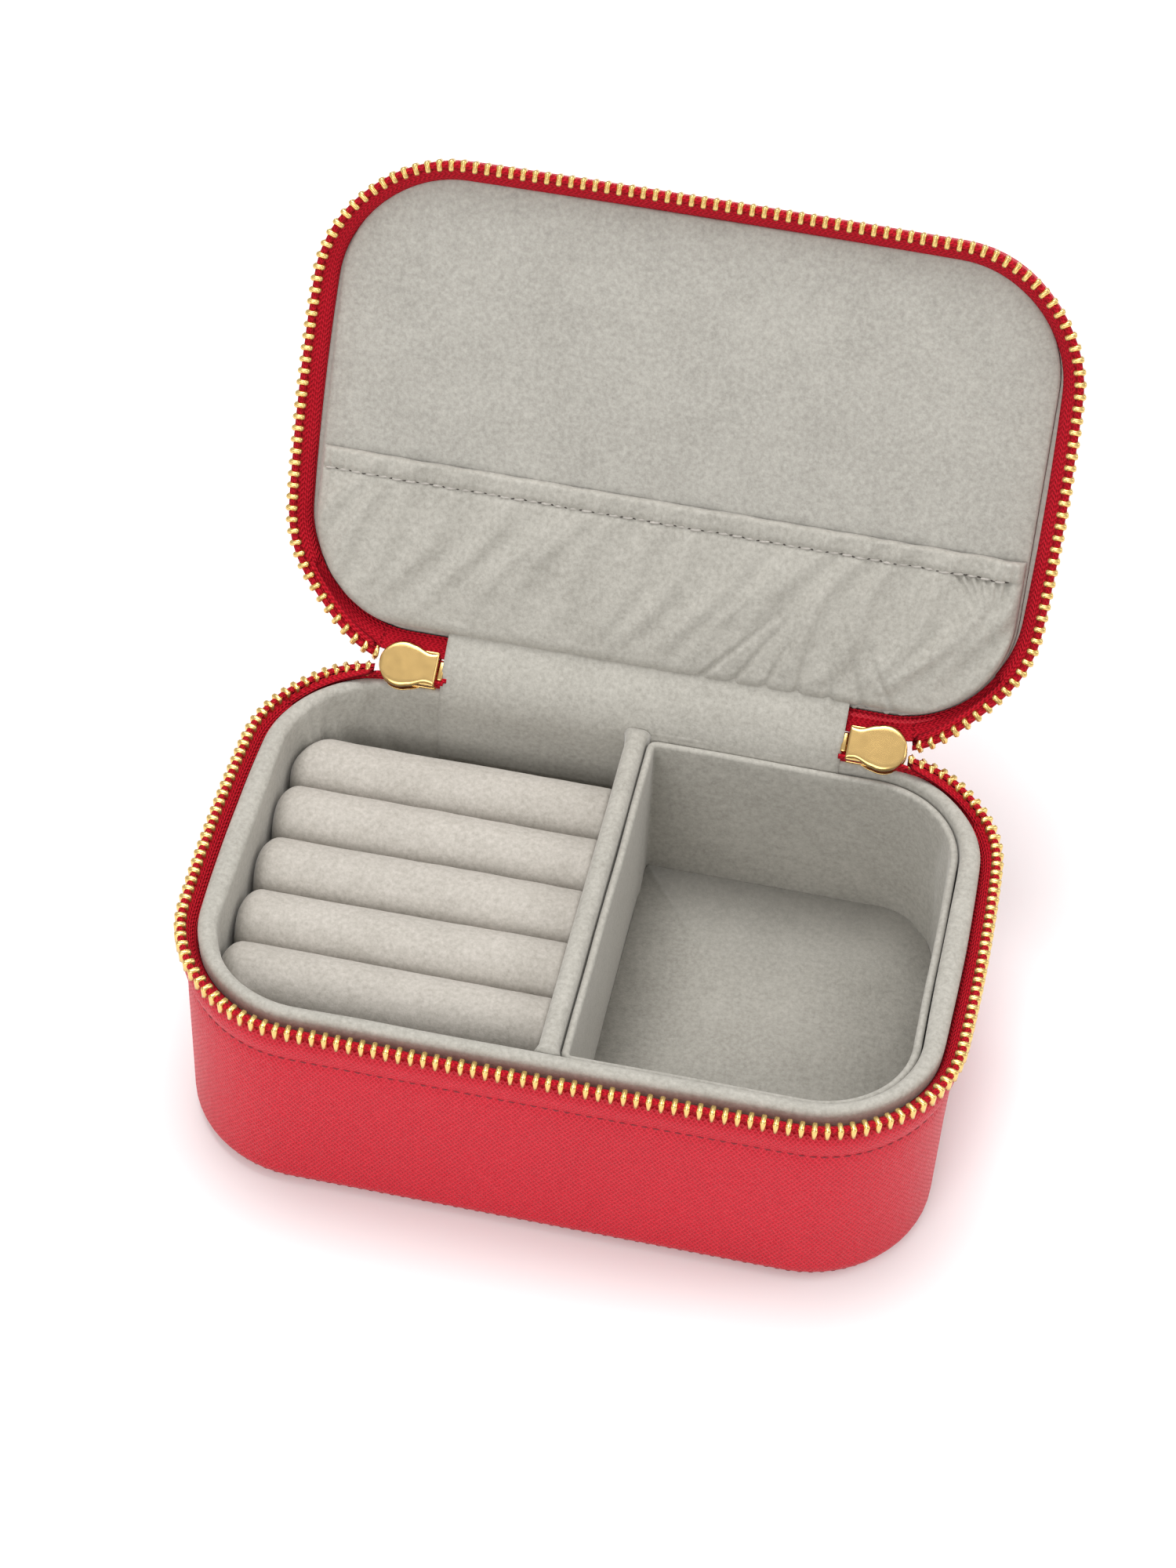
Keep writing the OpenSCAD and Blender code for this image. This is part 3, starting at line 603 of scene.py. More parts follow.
def tray_outline(bm, inward, z, square=1.6 * mm):
    """The plan of the tray, drawn in from its outer face, and its centre."""
    bmesh.ops.create_grid(bm, x_segments=1, y_segments=1, size=0.5)
    length = tray_high - tray_low
    bmesh.ops.scale(bm, vec=(length.x - 2 * inward, length.y - 2 * inward, 1), verts=bm.verts)
    middle = (tray_high + tray_low) / 2
    bmesh.ops.translate(bm, vec=(middle.x, middle.y, z), verts=bm.verts)
    near = [v for v in bm.verts if v.co.x < middle.x]
    far = [v for v in bm.verts if v.co.x > middle.x]
    softened(bm, near, square, 5, affect="VERTICES")
    softened(bm, far, corner_r - cavity_in - 0.3 * mm - inward, 26, affect="VERTICES")
    for edge in [e for e in bm.edges if e.calc_length() > 3 * mm]:
        bmesh.ops.subdivide_edges(bm, edges=[edge], cuts=int(edge.calc_length() / (1.2 * mm)))
    bm.verts.layers.float.new("rise")
    return [e for e in bm.edges], middle.xy


def tray_rings(bm, edges, centre, profile):
    """As wall_rings, for an outline that isn't centred on the box."""
    bmesh.ops.translate(bm, vec=(-centre.x, -centre.y, 0), verts=bm.verts)
    loop = wall_rings(bm, edges, profile)
    bmesh.ops.translate(bm, vec=(centre.x, centre.y, 0), verts=bm.verts)
    return loop


bm = bmesh.new()
edges, centre = tray_outline(bm, 0, 0)
bmesh.ops.delete(bm, geom=list(bm.faces), context="FACES_ONLY")
tray_t = 1.2 * mm
top_z = tray_high.z - tray_t / 2
tray_profile = ([(0, tray_low.z), (0, 20 * mm), (0, 30 * mm)]
                + round_steps((-tray_t / 2, top_z), tray_t / 2, 0, 180, 6)
                + [(-tray_t, z * mm) for z in (35, 33, 31, 28, 25, 22, 19, 16, 13.5, 11.5, 10)]
                + [(-tray_t, pad_high.z - 2 * mm), (-tray_t, tray_low.z)])
tray_rings(bm, edges, centre, tray_profile)
pleats = [(52.5, 24.5, 0.35), (50.0, 28.5, 0.3), (53.6, 19.0, 0.3), (53.4, -16.0, 0.25),
          (52.0, -25.0, 0.35), (48.5, -29.5, 0.3), (5.2, 31.0, 0.35), (3.8, 27.5, 0.25)]
for v in bm.verts:
    plan = v.co.xy
    depth = max(0.0, min(1.0, (tray_high.z - v.co.z) / (6 * mm)))
    toward = (plan - centre).normalized()
    move = 0.14 * mm * noise.noise(Vector((plan.x, plan.y, v.co.z * 0.6)) * 75)
    for px, py, strength in pleats:
        gap = (plan - Vector((px, py)) * mm).length
        move -= strength * mm * depth * fold(gap + 1.2 * mm * math.sin(v.co.z * 200 + py), 0.9 * mm)
    v.co.x += toward.x * move
    v.co.y += toward.y * move
    v.co.z += 0.12 * mm * noise.noise(Vector((plan.x, plan.y, 5)) * 80) * (1 - depth)
made(bm, "tray_walls", suede_grey, "suede_grey", "base", ["tray_wall"])

bm = bmesh.new()
edges, centre = tray_outline(bm, tray_t + 0.05 * mm, pad_high.z, square=1.0 * mm)
for i in range(9):
    wide = max(bm.faces, key=lambda f: f.calc_area())
    bmesh.ops.inset_region(bm, faces=[wide], thickness=(0.5 + 0.28 * i) * mm, use_even_offset=True)
wide = max(bm.faces, key=lambda f: len(f.verts))
bmesh.ops.poke(bm, faces=[wide])
for v in bm.verts:
    sides = [abs(v.co.x - tray_low.x), abs(tray_high.x - v.co.x), abs(v.co.y - tray_low.y),
             abs(tray_high.y - v.co.y)]
    reach = max(0.0, min(sides) - 1.25 * mm)
    v.co.z += 0.7 * mm * (1 - math.exp(-reach / (3.2 * mm))) - 0.9 * mm * math.exp(-reach / (0.7 * mm))
    v.co.z += 0.25 * mm * noise.noise(v.co * 55) * min(1, reach / (2 * mm))
lower = bmesh.ops.extrude_edge_only(bm, edges=[e for e in bm.edges if e.is_boundary])["geom"]
for v in verts_of(lower):
    v.co.z = pad_low.z
bmesh.ops.holes_fill(bm, edges=[e for e in bm.edges if e.is_boundary], sides=0)
pad = made(bm, "tray_floor_cloth", suede_grey, "suede_grey", "base", ["tray_floor_pad"])

# ---- Zip tapes ----
# Woven red tape is glued between board and lining, slants out over the lip and ends in a
# corded edge that the teeth clamp. The lower and upper tapes are mirror images. Behind the
# box the last of each tape leaves its wall at the split and curves in to the slider.
tape_red, add, sums, put = shader("tape_red")
run = add("Attribute", {}, attribute_name="run").outputs["Fac"]
rise = add("Attribute", {}, attribute_name="rise").outputs["Fac"]
twill_pitch = 0.85 * mm
zigzag = sums("PINGPONG", sums("MULTIPLY", rise, 1 / (1.7 * mm)), 0.5)
twill = sums("SINE", sums("MULTIPLY", sums("ADD", sums("MULTIPLY", run, 1 / twill_pitch),
                                           sums("MULTIPLY", zigzag, 2.0)), 2 * math.pi))
yarn = sums("SINE", sums("MULTIPLY", rise, 2 * math.pi / (0.42 * mm)))
weave = sums("ADD", sums("MULTIPLY", twill, 0.6), sums("MULTIPLY", yarn, 0.4))
put("Base Color", tones(add, sums("ADD", sums("MULTIPLY", weave, 0.5), 0.5),
                        (0.34, 0.001, 0.008, 1), (0.66, 0.010, 0.028, 1)))
put("Roughness", 0.7)
put("Specular IOR Level", 0.15)
put("Normal", add("Bump", {"Height": weave, "Strength": 0.9, "Distance": 0.25 * mm}).outputs[0])
zip_out = 0.4 * mm
row_start = 43.5 * mm
row_split = 56.0 * mm
row_far = 30.0 * mm
tape_in = 2.24 * mm


split_turn = math.acos((row_split - core.x) / corner_r)


def rear_spot(x, out, z):
    """The place behind the box at x along its outline, moved square to the outline by out."""
    turn = max(0.0, abs(x) - core.x) / corner_r
    spot = Vector((min(abs(x), core.x), core.y, z))
    spot += (corner_r + out) * Vector((turn, math.sqrt(1 - turn * turn), 0))
    spot.x *= math.copysign(1, x)
    return spot


def past_split(spot, spare=0.0):
    """Whether a spot of the outline lies behind the box, between the two splits of its rows."""
    return spot.y > core.y and math.atan2(spot.y - core.y, abs(spot.x) - core.x) > split_turn - spare


def lid_share(x):
    """How much of the lid's turn the zip line follows: half at the sliders, none by row_split."""
    t = max(0.0, min(0.5, (row_split - abs(x)) / (row_split - row_far)))
    return t * t * (3 - 2 * t)


def tape_steps(flip, band=False):
    """The tape's section, as (outward, height) steps; flip mirrors it for the lid."""
    outer = [(-tape_in + 0.4 * mm, 27), (-tape_in + 0.4 * mm, 32), (-tape_in + 0.42 * mm, 34.6),
             (-1.35 * mm, 35.9), (-0.45 * mm, 36.7), (0.25 * mm, 37.3), (0.55 * mm, 37.7)]
    cord = [(zip_out + 0.56 * mm * math.cos(math.radians(a)), 37.8 + 0.56 * math.sin(math.radians(a)))
            for a in (-40, 0, 45, 90, 135, 180, 220)]
    inner = [(0.0, 37.65), (-0.65 * mm, 37.05), (-1.55 * mm, 36.3), (-tape_in - 0.02 * mm, 35.2),
             (-tape_in, 32), (-tape_in, 27)]
    if band:
        outer, inner = [(-1.0 * mm, 36.25)] + outer[4:], inner[:2] + [(-1.2 * mm, 36.6)]
    steps = [(out, z * mm) for out, z in outer + cord + inner]
    return [(out, 2 * part_z - z) for out, z in steps] if flip else steps


for name, flip in (("lower_tape", False), ("upper_tape", True)):
    bm, edges = open_outline(0, 0, step=1.3 * mm, arc=24)
    wall_rings(bm, edges, tape_steps(flip))
    gone = [v for v in bm.verts if past_split(v.co)]
    bmesh.ops.delete(bm, geom=gone, context="VERTS")
    bmesh.ops.holes_fill(bm, edges=[e for e in bm.edges if e.is_boundary], sides=0)
    run_layer = bm.verts.layers.float["run"]
    for v in bm.verts:
        near_edge = max(0.0, 1 - abs(v.co.z - part_z) / (3.5 * mm))
        ripple = 0.10 * mm * near_edge * math.sin(v[run_layer] * 2 * math.pi / (9.5 * mm))
        v.co.z += ripple
        v.co = bowed(v.co, lid=flip)
    if flip:
        swung(bm)
        tape = made(bm, name, tape_red, "tape_red", "lid", ["upper_zip_tape"])
    else:
        tape = made(bm, name, tape_red, "tape_red", "base", ["lower_zip_tape"])

for name, flip, near_body, far_body in (("lower_tape_end", False, "base", "lid"),
                                        ("upper_tape_end", True, "lid", "base")):
    for side, s in (("left", -1), ("right", 1)):
        bm, edges = open_outline(0, 0, step=0.9 * mm, arc=32)
        wall_rings(bm, edges, tape_steps(flip, band=True))
        kept = {v for v in bm.verts if s * v.co.x > row_start and past_split(v.co, 0.09)}
        bmesh.ops.delete(bm, geom=[v for v in bm.verts if v not in kept], context="VERTS")
        bmesh.ops.holes_fill(bm, edges=[e for e in bm.edges if e.is_boundary], sides=0)
        for v in bm.verts:
            share = lid_share(v.co.x)
            v.co = leant(1 - share if flip else share) @ bowed(v.co, lid=flip)
        end = made(bm, f"{name}_{side}", tape_red, "tape_red")
        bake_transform(end, near_body, far_body, (s * row_split, 0, 0), (s * row_far, 0, 0))

# ---- Zip teeth ----
# Gold-plated brass teeth, each clamped over the corded edge, with a narrow scoop at its tip.
# The two rows stand half a pitch apart, so that their scoops fit between each other.


def gold(name, colour, rough):
    """Polished gold plating, a little worn."""
    material, add, sums, put = shader(name)
    spot = add("TexCoord", {}).outputs["Object"]
    wear = add("TexNoise", {"Vector": spot, "Scale": 700.0, "Detail": 4.0}).outputs["Fac"]
    put("Base Color", colour)
    put("Metallic", 1.0)
    put("Roughness", sums("ADD", sums("MULTIPLY", wear, 0.12), rough))
    put("Normal", add("Bump", {"Height": wear, "Strength": 0.12, "Distance": 0.05 * mm}).outputs[0])
    return material


zip_gold = gold("zip_gold", (0.80, 0.55, 0.20, 1), 0.18)


def tooth_mesh():
    """One tooth pointing up from its tape, at the origin of the parting plane."""
    bm = bmesh.new()
    bmesh.ops.create_cube(bm, size=1)
    bmesh.ops.scale(bm, vec=(1.95 * mm, 0.95 * mm, 2.3 * mm), verts=bm.verts)
    bmesh.ops.translate(bm, vec=(0, 0, -1.25 * mm), verts=bm.verts)
    for v in bm.verts:
        if v.co.z < -2 * mm:
            v.co.x *= 0.88
            v.co.y *= 0.8
    softened(bm, bm.edges[:], 0.26 * mm, 1)
    cap = max(bm.faces, key=lambda f: f.calc_center_median().z)
    bmesh.ops.inset_region(bm, faces=[cap], thickness=0.12 * mm, use_even_offset=True)
    tip_verts = verts_of(bmesh.ops.extrude_face_region(bm, geom=[cap])["geom"])
    bmesh.ops.translate(bm, vec=(0, 0, 0.26 * mm), verts=tip_verts)
    bmesh.ops.scale(bm, vec=(0.6, 0.6, 1), verts=tip_verts)
    if cap.is_valid:
        bmesh.ops.delete(bm, geom=[cap], context="FACES_ONLY")
    mesh = bpy.data.meshes.new("tooth")
    bm.to_mesh(mesh)
    bm.free()
    return mesh


def round_the_box(inward, pitch, shift):
    """Places and headings, evenly spaced along the box's outline drawn in by inward."""
    r = corner_r - inward
    spots = []
    for quarter in range(4):
        heading = 90.0 * quarter - 90
        turn = math.radians(heading)
        out = Vector((math.cos(turn), math.sin(turn)))
        along = Vector((-out.y, out.x))
        half_run, to_core = (core.y, core.x) if quarter % 2 else (core.x, core.y)
        count = int(2 * half_run / pitch)
        for i in range(count):
            spot = out * (to_core + r) + along * half_run * ((i + shift) * 2 / count - 1)
            spots.append((spot.x, spot.y, heading))
        count = int(r * math.pi / 2 / pitch)
        for i in range(count):
            angle = heading + (i + shift) * 90 / count
            at = math.radians(angle)
            spot = out * to_core + along * half_run + r * Vector((math.cos(at), math.sin(at)))
            spots.append((spot.x, spot.y, angle))
    return spots


def repeated(mesh, places):
    """One mesh with a copy of a small shape at each place."""
    bm = bmesh.new()
    for place in places:
        before = len(bm.verts)
        bm.from_mesh(mesh)
        bm.verts.ensure_lookup_table()
        bmesh.ops.transform(bm, matrix=place, verts=bm.verts[before:])
    return bm


one_tooth = tooth_mesh()
tooth_pitch = 1.85 * mm
for name, shift, flip, near_body, far_body in (("lower_teeth", 0.25, False, "base", "lid"),
                                               ("upper_teeth", 0.75, True, "lid", "base")):
    places = {"row": [], "left": [], "right": []}
    for x, y, heading in round_the_box(-zip_out, tooth_pitch, shift):
        at_rear = past_split(Vector((x, y)))
        if at_rear and abs(x) < row_start + 0.3 * mm:
            continue
        spot = bowed(Vector((x, y, part_z)), lid=flip)
        place = Matrix.Translation(spot) @ Matrix.Rotation(math.radians(heading), 4, "Z")
        if flip:
            place = place @ Matrix.Rotation(math.pi, 4, "X")
        share = lid_share(x) if at_rear else 0.0
        place = leant(1 - share if flip else share) @ place
        places[("left" if x < 0 else "right") if at_rear else "row"].append(place)
    node = "upper_zip_teeth" if flip else "lower_zip_teeth"
    made(repeated(one_tooth, places["row"]), name, zip_gold, "zip_gold", near_body, [node])
    for side, s in (("left", -1), ("right", 1)):
        end = made(repeated(one_tooth, places[side]), f"{name}_end_{side}", zip_gold, "zip_gold")
        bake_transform(end, near_body, far_body, (s * row_split, 0, 0), (s * row_far, 0, 0))

# ---- Lid leather ----
# The lid's side strip mirrors the base's, with the same padded lip. Its top panel is padded
# with foam and sewn inside the side strip's turned edge.
lid_profile = [(out, 2 * part_z - z) for out, z in base_profile[14:-9]]
lid_profile = (round_steps((-edge_r, lid_top - edge_r), edge_r, 88, 0, 8) + [(0.02 * mm, 47.65 * mm)]
               + lid_profile + [(-1.0 * mm, 46.6 * mm)]
               + round_steps((-edge_r, lid_top - edge_r), edge_r - 1.0 * mm, 0, 88, 6))
bm, edges = open_outline(0, 0)
wall_rings(bm, edges, lid_profile)
for v in bm.verts:
    v.co = bowed(v.co, lid=True)
swung(bm)
made(bm, "lid_leather_wall", leather_red, "leather_red", "lid", ["lid_side_leather"])

bm, edges = open_outline(edge_r - 0.25 * mm, lid_top - 0.9 * mm)
top_steps = [(0, lid_top - 0.9 * mm), (0, lid_top - 0.3 * mm), (-0.25 * mm, lid_top)]
top_steps += [(-inward * mm, lid_top) for inward in (1, 2, 3.2, 4.6, 6.4, 8.6, 11, 13.5)]
loop = wall_rings(bm, edges, top_steps, closed=False)
bmesh.ops.contextual_create(bm, geom=edges)
cap = bmesh.ops.contextual_create(bm, geom=loop)["faces"]
bmesh.ops.poke(bm, faces=cap)
flat_grain(bm)
for v in bm.verts:
    gap = min(body_w / 2 - abs(v.co.x), body_d / 2 - abs(v.co.y)) - edge_r - 0.4 * mm
    if v.co.z > lid_top - 0.1 * mm:
        v.co.z += 0.75 * mm * (1 - math.exp(-max(0, gap) / (5 * mm)))
swung(bm)
made(bm, "lid_leather_top", leather_red, "leather_red", "lid", ["lid_top_leather"])

# ---- Stitching in the leather ----
# Dark red thread sews both padded lips and both edge seams, six stitches to the centimetre.


def thread(name, colour):
    """Twisted sewing thread; the same material also makes the near-black painted shade of the pocket's
    needle holes.
    """
    material, add, sums, put = shader(name)
    spot = add("TexCoord", {}).outputs["Object"]
    ply = add("TexWave", {"Vector": spot, "Scale": 900.0}, bands_direction="DIAGONAL").outputs["Fac"]
    put("Base Color", colour)
    put("Roughness", 0.6)
    put("Normal", add("Bump", {"Height": ply, "Strength": 0.4, "Distance": 0.04 * mm}).outputs[0])
    return material


def stitch_mesh(length, width, sunk):
    """One stitch along local Y, seen from +X, its ends dipping into the needle holes."""
    bm = bmesh.new()
    bmesh.ops.create_uvsphere(bm, u_segments=6, v_segments=5, radius=0.5)
    bmesh.ops.scale(bm, vec=(width, width, length), verts=bm.verts)
    bmesh.ops.rotate(bm, cent=(0, 0, 0), matrix=Matrix.Rotation(math.pi / 2, 3, "X"), verts=bm.verts)
    for v in bm.verts:
        v.co.x -= sunk * (2 * v.co.y / length) ** 2
    mesh = bpy.data.meshes.new("stitch")
    bm.to_mesh(mesh)
    bm.free()
    return mesh


thread_red = thread("thread_red", (0.19, 0.004, 0.010, 1))
red_stitch = stitch_mesh(1.25 * mm, 0.38 * mm, 0.12 * mm)
stitch_pitch = 1.66 * mm
for name, inward, z, lean, body in (("base_lip_stitches", 0.30, 30.5, 0, "base"),
                                    ("base_foot_stitches", 1.05, 1.05, 45, "base"),
                                    ("lid_lip_stitches", 0.30, 46.9, 0, "lid"),
                                    ("lid_top_stitches", 1.05, 50.15, -45, "lid")):
    in_lid = body == "lid"
    places = []
    for x, y, heading in round_the_box(inward * mm, stitch_pitch, 0.5):
        spot = bowed(Vector((x, y, z * mm)), lid=in_lid)
        places.append(Matrix.Translation(spot) @ Matrix.Rotation(math.radians(heading), 4, "Z")
                      @ Matrix.Rotation(math.radians(lean), 4, "Y"))
    bm = repeated(red_stitch, places)
    if in_lid:
        swung(bm)
    made(bm, name, thread_red, None, body)

# ---- Lid panel ----
# A board wrapped in brushed grey suede closes the inside of the lid, over the zip tape.
suede_panel = suede("suede_panel", (0.30, 0.286, 0.255, 1), (0.445, 0.428, 0.385, 1), mottle=0.8)
panel_z = part_z + 3.3 * mm
bm, edges = open_outline(2.3 * mm, 0)
panel_steps = [(0, panel_z + 2.4 * mm), (0, panel_z + 1.3 * mm), (0.32 * mm, panel_z + 0.75 * mm),
               (0.42 * mm, panel_z + 0.45 * mm), (0.3 * mm, panel_z + 0.18 * mm),
               (-0.1 * mm, panel_z + 0.04 * mm), (-0.9 * mm, panel_z)]
panel_steps += [(-inward * mm, panel_z) for inward in (1.8, 3, 4.6, 6.8, 9.5, 12.5)]
loop = wall_rings(bm, edges, panel_steps, closed=False)
bmesh.ops.contextual_create(bm, geom=edges)
cap = bmesh.ops.contextual_create(bm, geom=loop)["faces"]
bmesh.ops.poke(bm, faces=cap)
for v in bm.verts:
    gap = min(body_w / 2 - abs(v.co.x), body_d / 2 - abs(v.co.y)) - 3 * mm
    if v.co.z < panel_z + 0.1 * mm:
        v.co.z -= 0.25 * mm * (1 - math.exp(-max(0, gap) / (4 * mm)))
swung(bm)
made(bm, "lid_panel_cloth", suede_panel, "suede_panel", "lid", ["lid_panel_suede"])

# ---- Gathered pocket ----
# A suede pocket covers the hinge half of the panel. Elastic in its hem gathers it, so the
# cloth puffs out and falls in soft slanting folds; a row of grey stitches holds the hem.
pocket_in = 2.25 * mm
pocket_y = 8.5 * mm
stitch_y = 12 * mm
pocket_end = body_d / 2 - pocket_in
pocket_off = 0.3 * mm


def thickened(bm, thickness):
    """Gives an open sheet a second face, a thickness behind the first."""
    bm.normal_update()
    normals = {v.co.to_tuple(8): v.normal.copy() for v in bm.verts}
    grown = bmesh.ops.extrude_face_region(bm, geom=bm.faces[:], use_keep_orig=True)["geom"]
    for v in verts_of(grown):
        v.co -= normals[v.co.to_tuple(8)] * thickness


def pocket_depth(x, y):
    """How far the cloth stands off the panel, all in millimetres: the puff, nineteen slanting
    folds, pinches fanning out from the right-hand end, and the ticks of the gathered hem."""
    s = max(0.0, (y - 12) / (36.1 - 12))
    full = 0.6 + 1.15 * s ** 0.75
    if s > 0.9:
        full *= math.sqrt(max(0.0, 1 - ((s - 0.9) / 0.1) ** 2))
    deep = 0.0
    for i in range(19):
        wander = noise.noise(Vector((i * 3.7, 1.3, 0)))
        crest = -58 + 6.4 * i + 3.2 * wander
        slant = 0.55 + 0.25 * noise.noise(Vector((i * 1.9, 8.1, 0)))
        line = crest + slant * (24 - y) + 1.5 * math.sin(0.22 * y + i)
        strong = 0.85 + 0.5 * noise.noise(Vector((i * 5.1, 3.3, 0))) + 0.01 * max(0, crest + 10)
        width = 1.7 + 1.0 * abs(wander)
        reach = math.sin(math.pi * min(1, max(0, 0.15 + 0.95 * s))) ** 0.7
        deep += strong * reach * fold(x - line, width)
    for i in range(7):
        crest = 8 + 5.3 * i
        line = crest + (0.9 - 0.25 * i) * (36 - y)
        strong = 0.9 * max(0.0, s - 0.35) * (1.4 - 0.1 * i)
        deep -= strong * fold(x - line, 0.6)
    for i in range(6):
        line = 47.5 + 1.3 * i - (0.75 - 0.17 * i) * (14 - y)
        deep -= 0.85 * fold(x - line, 0.42) * math.exp(-max(0, y - 12.6) / 4.5) * (y > 12)
    ticks = 0.16 * math.sin(x * 2 * math.pi / 1.35 + 1.2 * math.sin(x * 0.7))
    deep += ticks * math.exp(-abs(y - 11.2) / 2.2)
    deep += 0.12 * noise.noise(Vector((x * 0.35, y * 0.35, 2))) * min(1, s * 4)
    groove = 0.4 * fold(y - 12, 0.5)
    if y < 12:
        t = (y - 8.5) / 3.5
        full = 0.15 + 0.9 * math.sqrt(max(0.0, 1 - (1 - min(1, t / 0.2)) ** 2)) - 0.15 * t
    return full + deep - groove


bm = bmesh.new()
bmesh.ops.create_grid(bm, x_segments=420, y_segments=84, size=1)
run = bm.verts.layers.float.new("run")
for v in bm.verts:
    y = pocket_y + (pocket_end - pocket_y) * (v.co.y + 1) / 2
    r = corner_r - pocket_in
    half = core.x + (r if y < core.y else math.sqrt(max(r * r - (y - core.y) ** 2 * 0.985, 0)))
    x = v.co.x * half
    side = min(1.0, (half - abs(x)) / (2.2 * mm))
    depth = pocket_depth(x / mm, y / mm) * mm * math.sqrt(max(0.0, 1 - (1 - side) ** 2))
    v[run] = x
    v.co = Vector((x, y, panel_z - pocket_off - depth))
bmesh.ops.reverse_faces(bm, faces=bm.faces)
thickened(bm, 0.4 * mm)
swung(bm)
pocket = made(bm, "pocket_cloth", suede_grey, "suede_grey", "lid", ["lid_pocket"])

thread_grey = thread("thread_grey", (0.46, 0.43, 0.39, 1))
# Not thread: a near-black painted shade that stands in for the shadow inside the pocket's needle holes.
painted_hole_shade = thread("needle_hole_painted_shade", (0.045, 0.035, 0.030, 1))
seam_half = body_w / 2 - pocket_in - 1.5 * mm
count = int(2 * seam_half / (2.2 * mm))
# The second row puts small near-black marks between the grey stitches: painted shade for the needle holes,
# not a colour of the cloth.
for name, length, width, shift, material in (("pocket_stitches", 1.75, 0.48, 0.0, thread_grey),
                                             ("pocket_hole_painted_shade", 0.75, 0.34, 0.5, painted_hole_shade)):
    places = []
    for i in range(count):
        x = -seam_half + (i + shift) * 2 * seam_half / count
        depth = pocket_depth(x / mm, 12) * mm
        z = panel_z - pocket_off - depth - 0.2 * mm + shift * 0.14 * mm
        places.append(Matrix.Translation((x, stitch_y, z)) @ Matrix.Rotation(math.pi / 2, 4, "Y")
                      @ Matrix.Rotation(math.radians(90 + 5), 4, "X"))
    bm = repeated(stitch_mesh(length * mm, width * mm, 0.05 * mm), places)
    swung(bm)
    made(bm, name, material, None, "lid")

# ---- Hinge leather ----
# One leather panel, sewn over both lips at the back, joins the lid to the base. It folds
# along the hinge line, and blends from the base to the lid there.
hinge_half = 31.4 * mm
strip_y = body_d / 2 + 0.62 * mm
strip_t = 0.95 * mm


def grained_grid(columns, rows):
    """A new flat grid from -1 to 1 each way, with the layers that hold its grain."""
    bm = bmesh.new()
    bmesh.ops.create_grid(bm, x_segments=columns, y_segments=rows, size=1)
    return bm, bm.verts.layers.float.new("run"), bm.verts.layers.float.new("rise")


def panel_along(path, half, columns, step=0.8 * mm):
    """A sheet as wide as 2 x half, drawn along a (y, z) path, with run and rise for its grain."""
    fine = [path[0]]
    for a, b in zip(path, path[1:]):
        pieces = max(1, round((b - a).length / step))
        fine += [a.lerp(b, (i + 1) / pieces) for i in range(pieces)]
    for _ in range(3):
        inner = [(fine[i - 1] + 2 * fine[i] + fine[i + 1]) / 4 for i in range(1, len(fine) - 1)]
        fine = [fine[0]] + inner + [fine[-1]]
    bm, run, rise = grained_grid(columns, len(fine) - 1)
    lengths = [0.0]
    for a, b in zip(fine, fine[1:]):
        lengths.append(lengths[-1] + (b - a).length)
    for v in bm.verts:
        k = round((v.co.y + 1) / 2 * (len(fine) - 1))
        v[run] = v.co.x * half
        v[rise] = lengths[k]
        v.co = Vector((v.co.x * half, fine[k].x, fine[k].y))
    return bm


def opened_spot(y, z):
    """Where a (y, z) place drawn with the lid shut goes when the lid opens."""
    spot = Matrix.Rotation(-open_angle, 3, "X") @ Vector((0, y - pivot.y, z - pivot.z))
    return Vector((spot.y + pivot.y, spot.z + pivot.z))


path = [Vector((strip_y, 31.5 * mm)), Vector((strip_y, 40.6 * mm)),
        Vector((strip_y + 0.25 * mm, 41.7 * mm)),
        opened_spot(strip_y, 42.3 * mm), opened_spot(strip_y, 45.95 * mm)]
bm = panel_along(path, hinge_half, 60)
bmesh.ops.reverse_faces(bm, faces=bm.faces)
thickened(bm, strip_t)
rim_edges = [e for e in bm.edges if len(e.link_faces) == 2 and e.calc_face_angle(0) > 1.2]
softened(bm, rim_edges, 0.28 * mm, 2)
strip = made(bm, "hinge_leather", leather_red, "leather_red", None,
             ["hinge_leather_base", "hinge_leather_lid"])
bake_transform(strip, "base", "lid", (0, 39.4 * mm, 41 * mm), (0, 40.6 * mm, 41 * mm))

# ---- Hinge lining ----
# Suede covers the inside of the hinge, from the rear wall over the rim and up under the
# pocket. Its cut edges show as a line down the wall, and it creases softly at the rim.
wall_y = body_d / 2 - cavity_in - 0.32 * mm
path = [Vector((wall_y, 24 * mm)), Vector((wall_y, 36.6 * mm)), Vector((wall_y + 0.5 * mm, 38.5 * mm)),
        Vector((wall_y + 1.1 * mm, 39.8 * mm)), Vector((wall_y + 2.5 * mm, 41.9 * mm)),
        Vector((wall_y + 4.7 * mm, 43.8 * mm)), opened_spot(body_d / 2 - 2.9 * mm, panel_z - 1.0 * mm),
        opened_spot(body_d / 2 - 6 * mm, panel_z - 0.3 * mm)]
bm = panel_along(path, hinge_half + 1.3 * mm, 90)
for v in bm.verts:
    high = max(0.0, min(1.0, (v.co.z - 36 * mm) / (3 * mm)))
    v.co.y += 0.16 * mm * noise.noise(Vector((v.co.x * 60, v.co.z * 120, 4)))
    v.co.z += high * 0.30 * mm * noise.noise(Vector((v.co.x * 45, v.co.y * 110, 9)))
thickened(bm, 0.45 * mm)
flap = made(bm, "hinge_lining", suede_grey, "suede_grey", None,
            ["hinge_lining_base", "hinge_lining_lid"])
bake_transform(flap, "base", "lid", (0, 36.5 * mm, 39.5 * mm), (0, 41.5 * mm, 44 * mm))

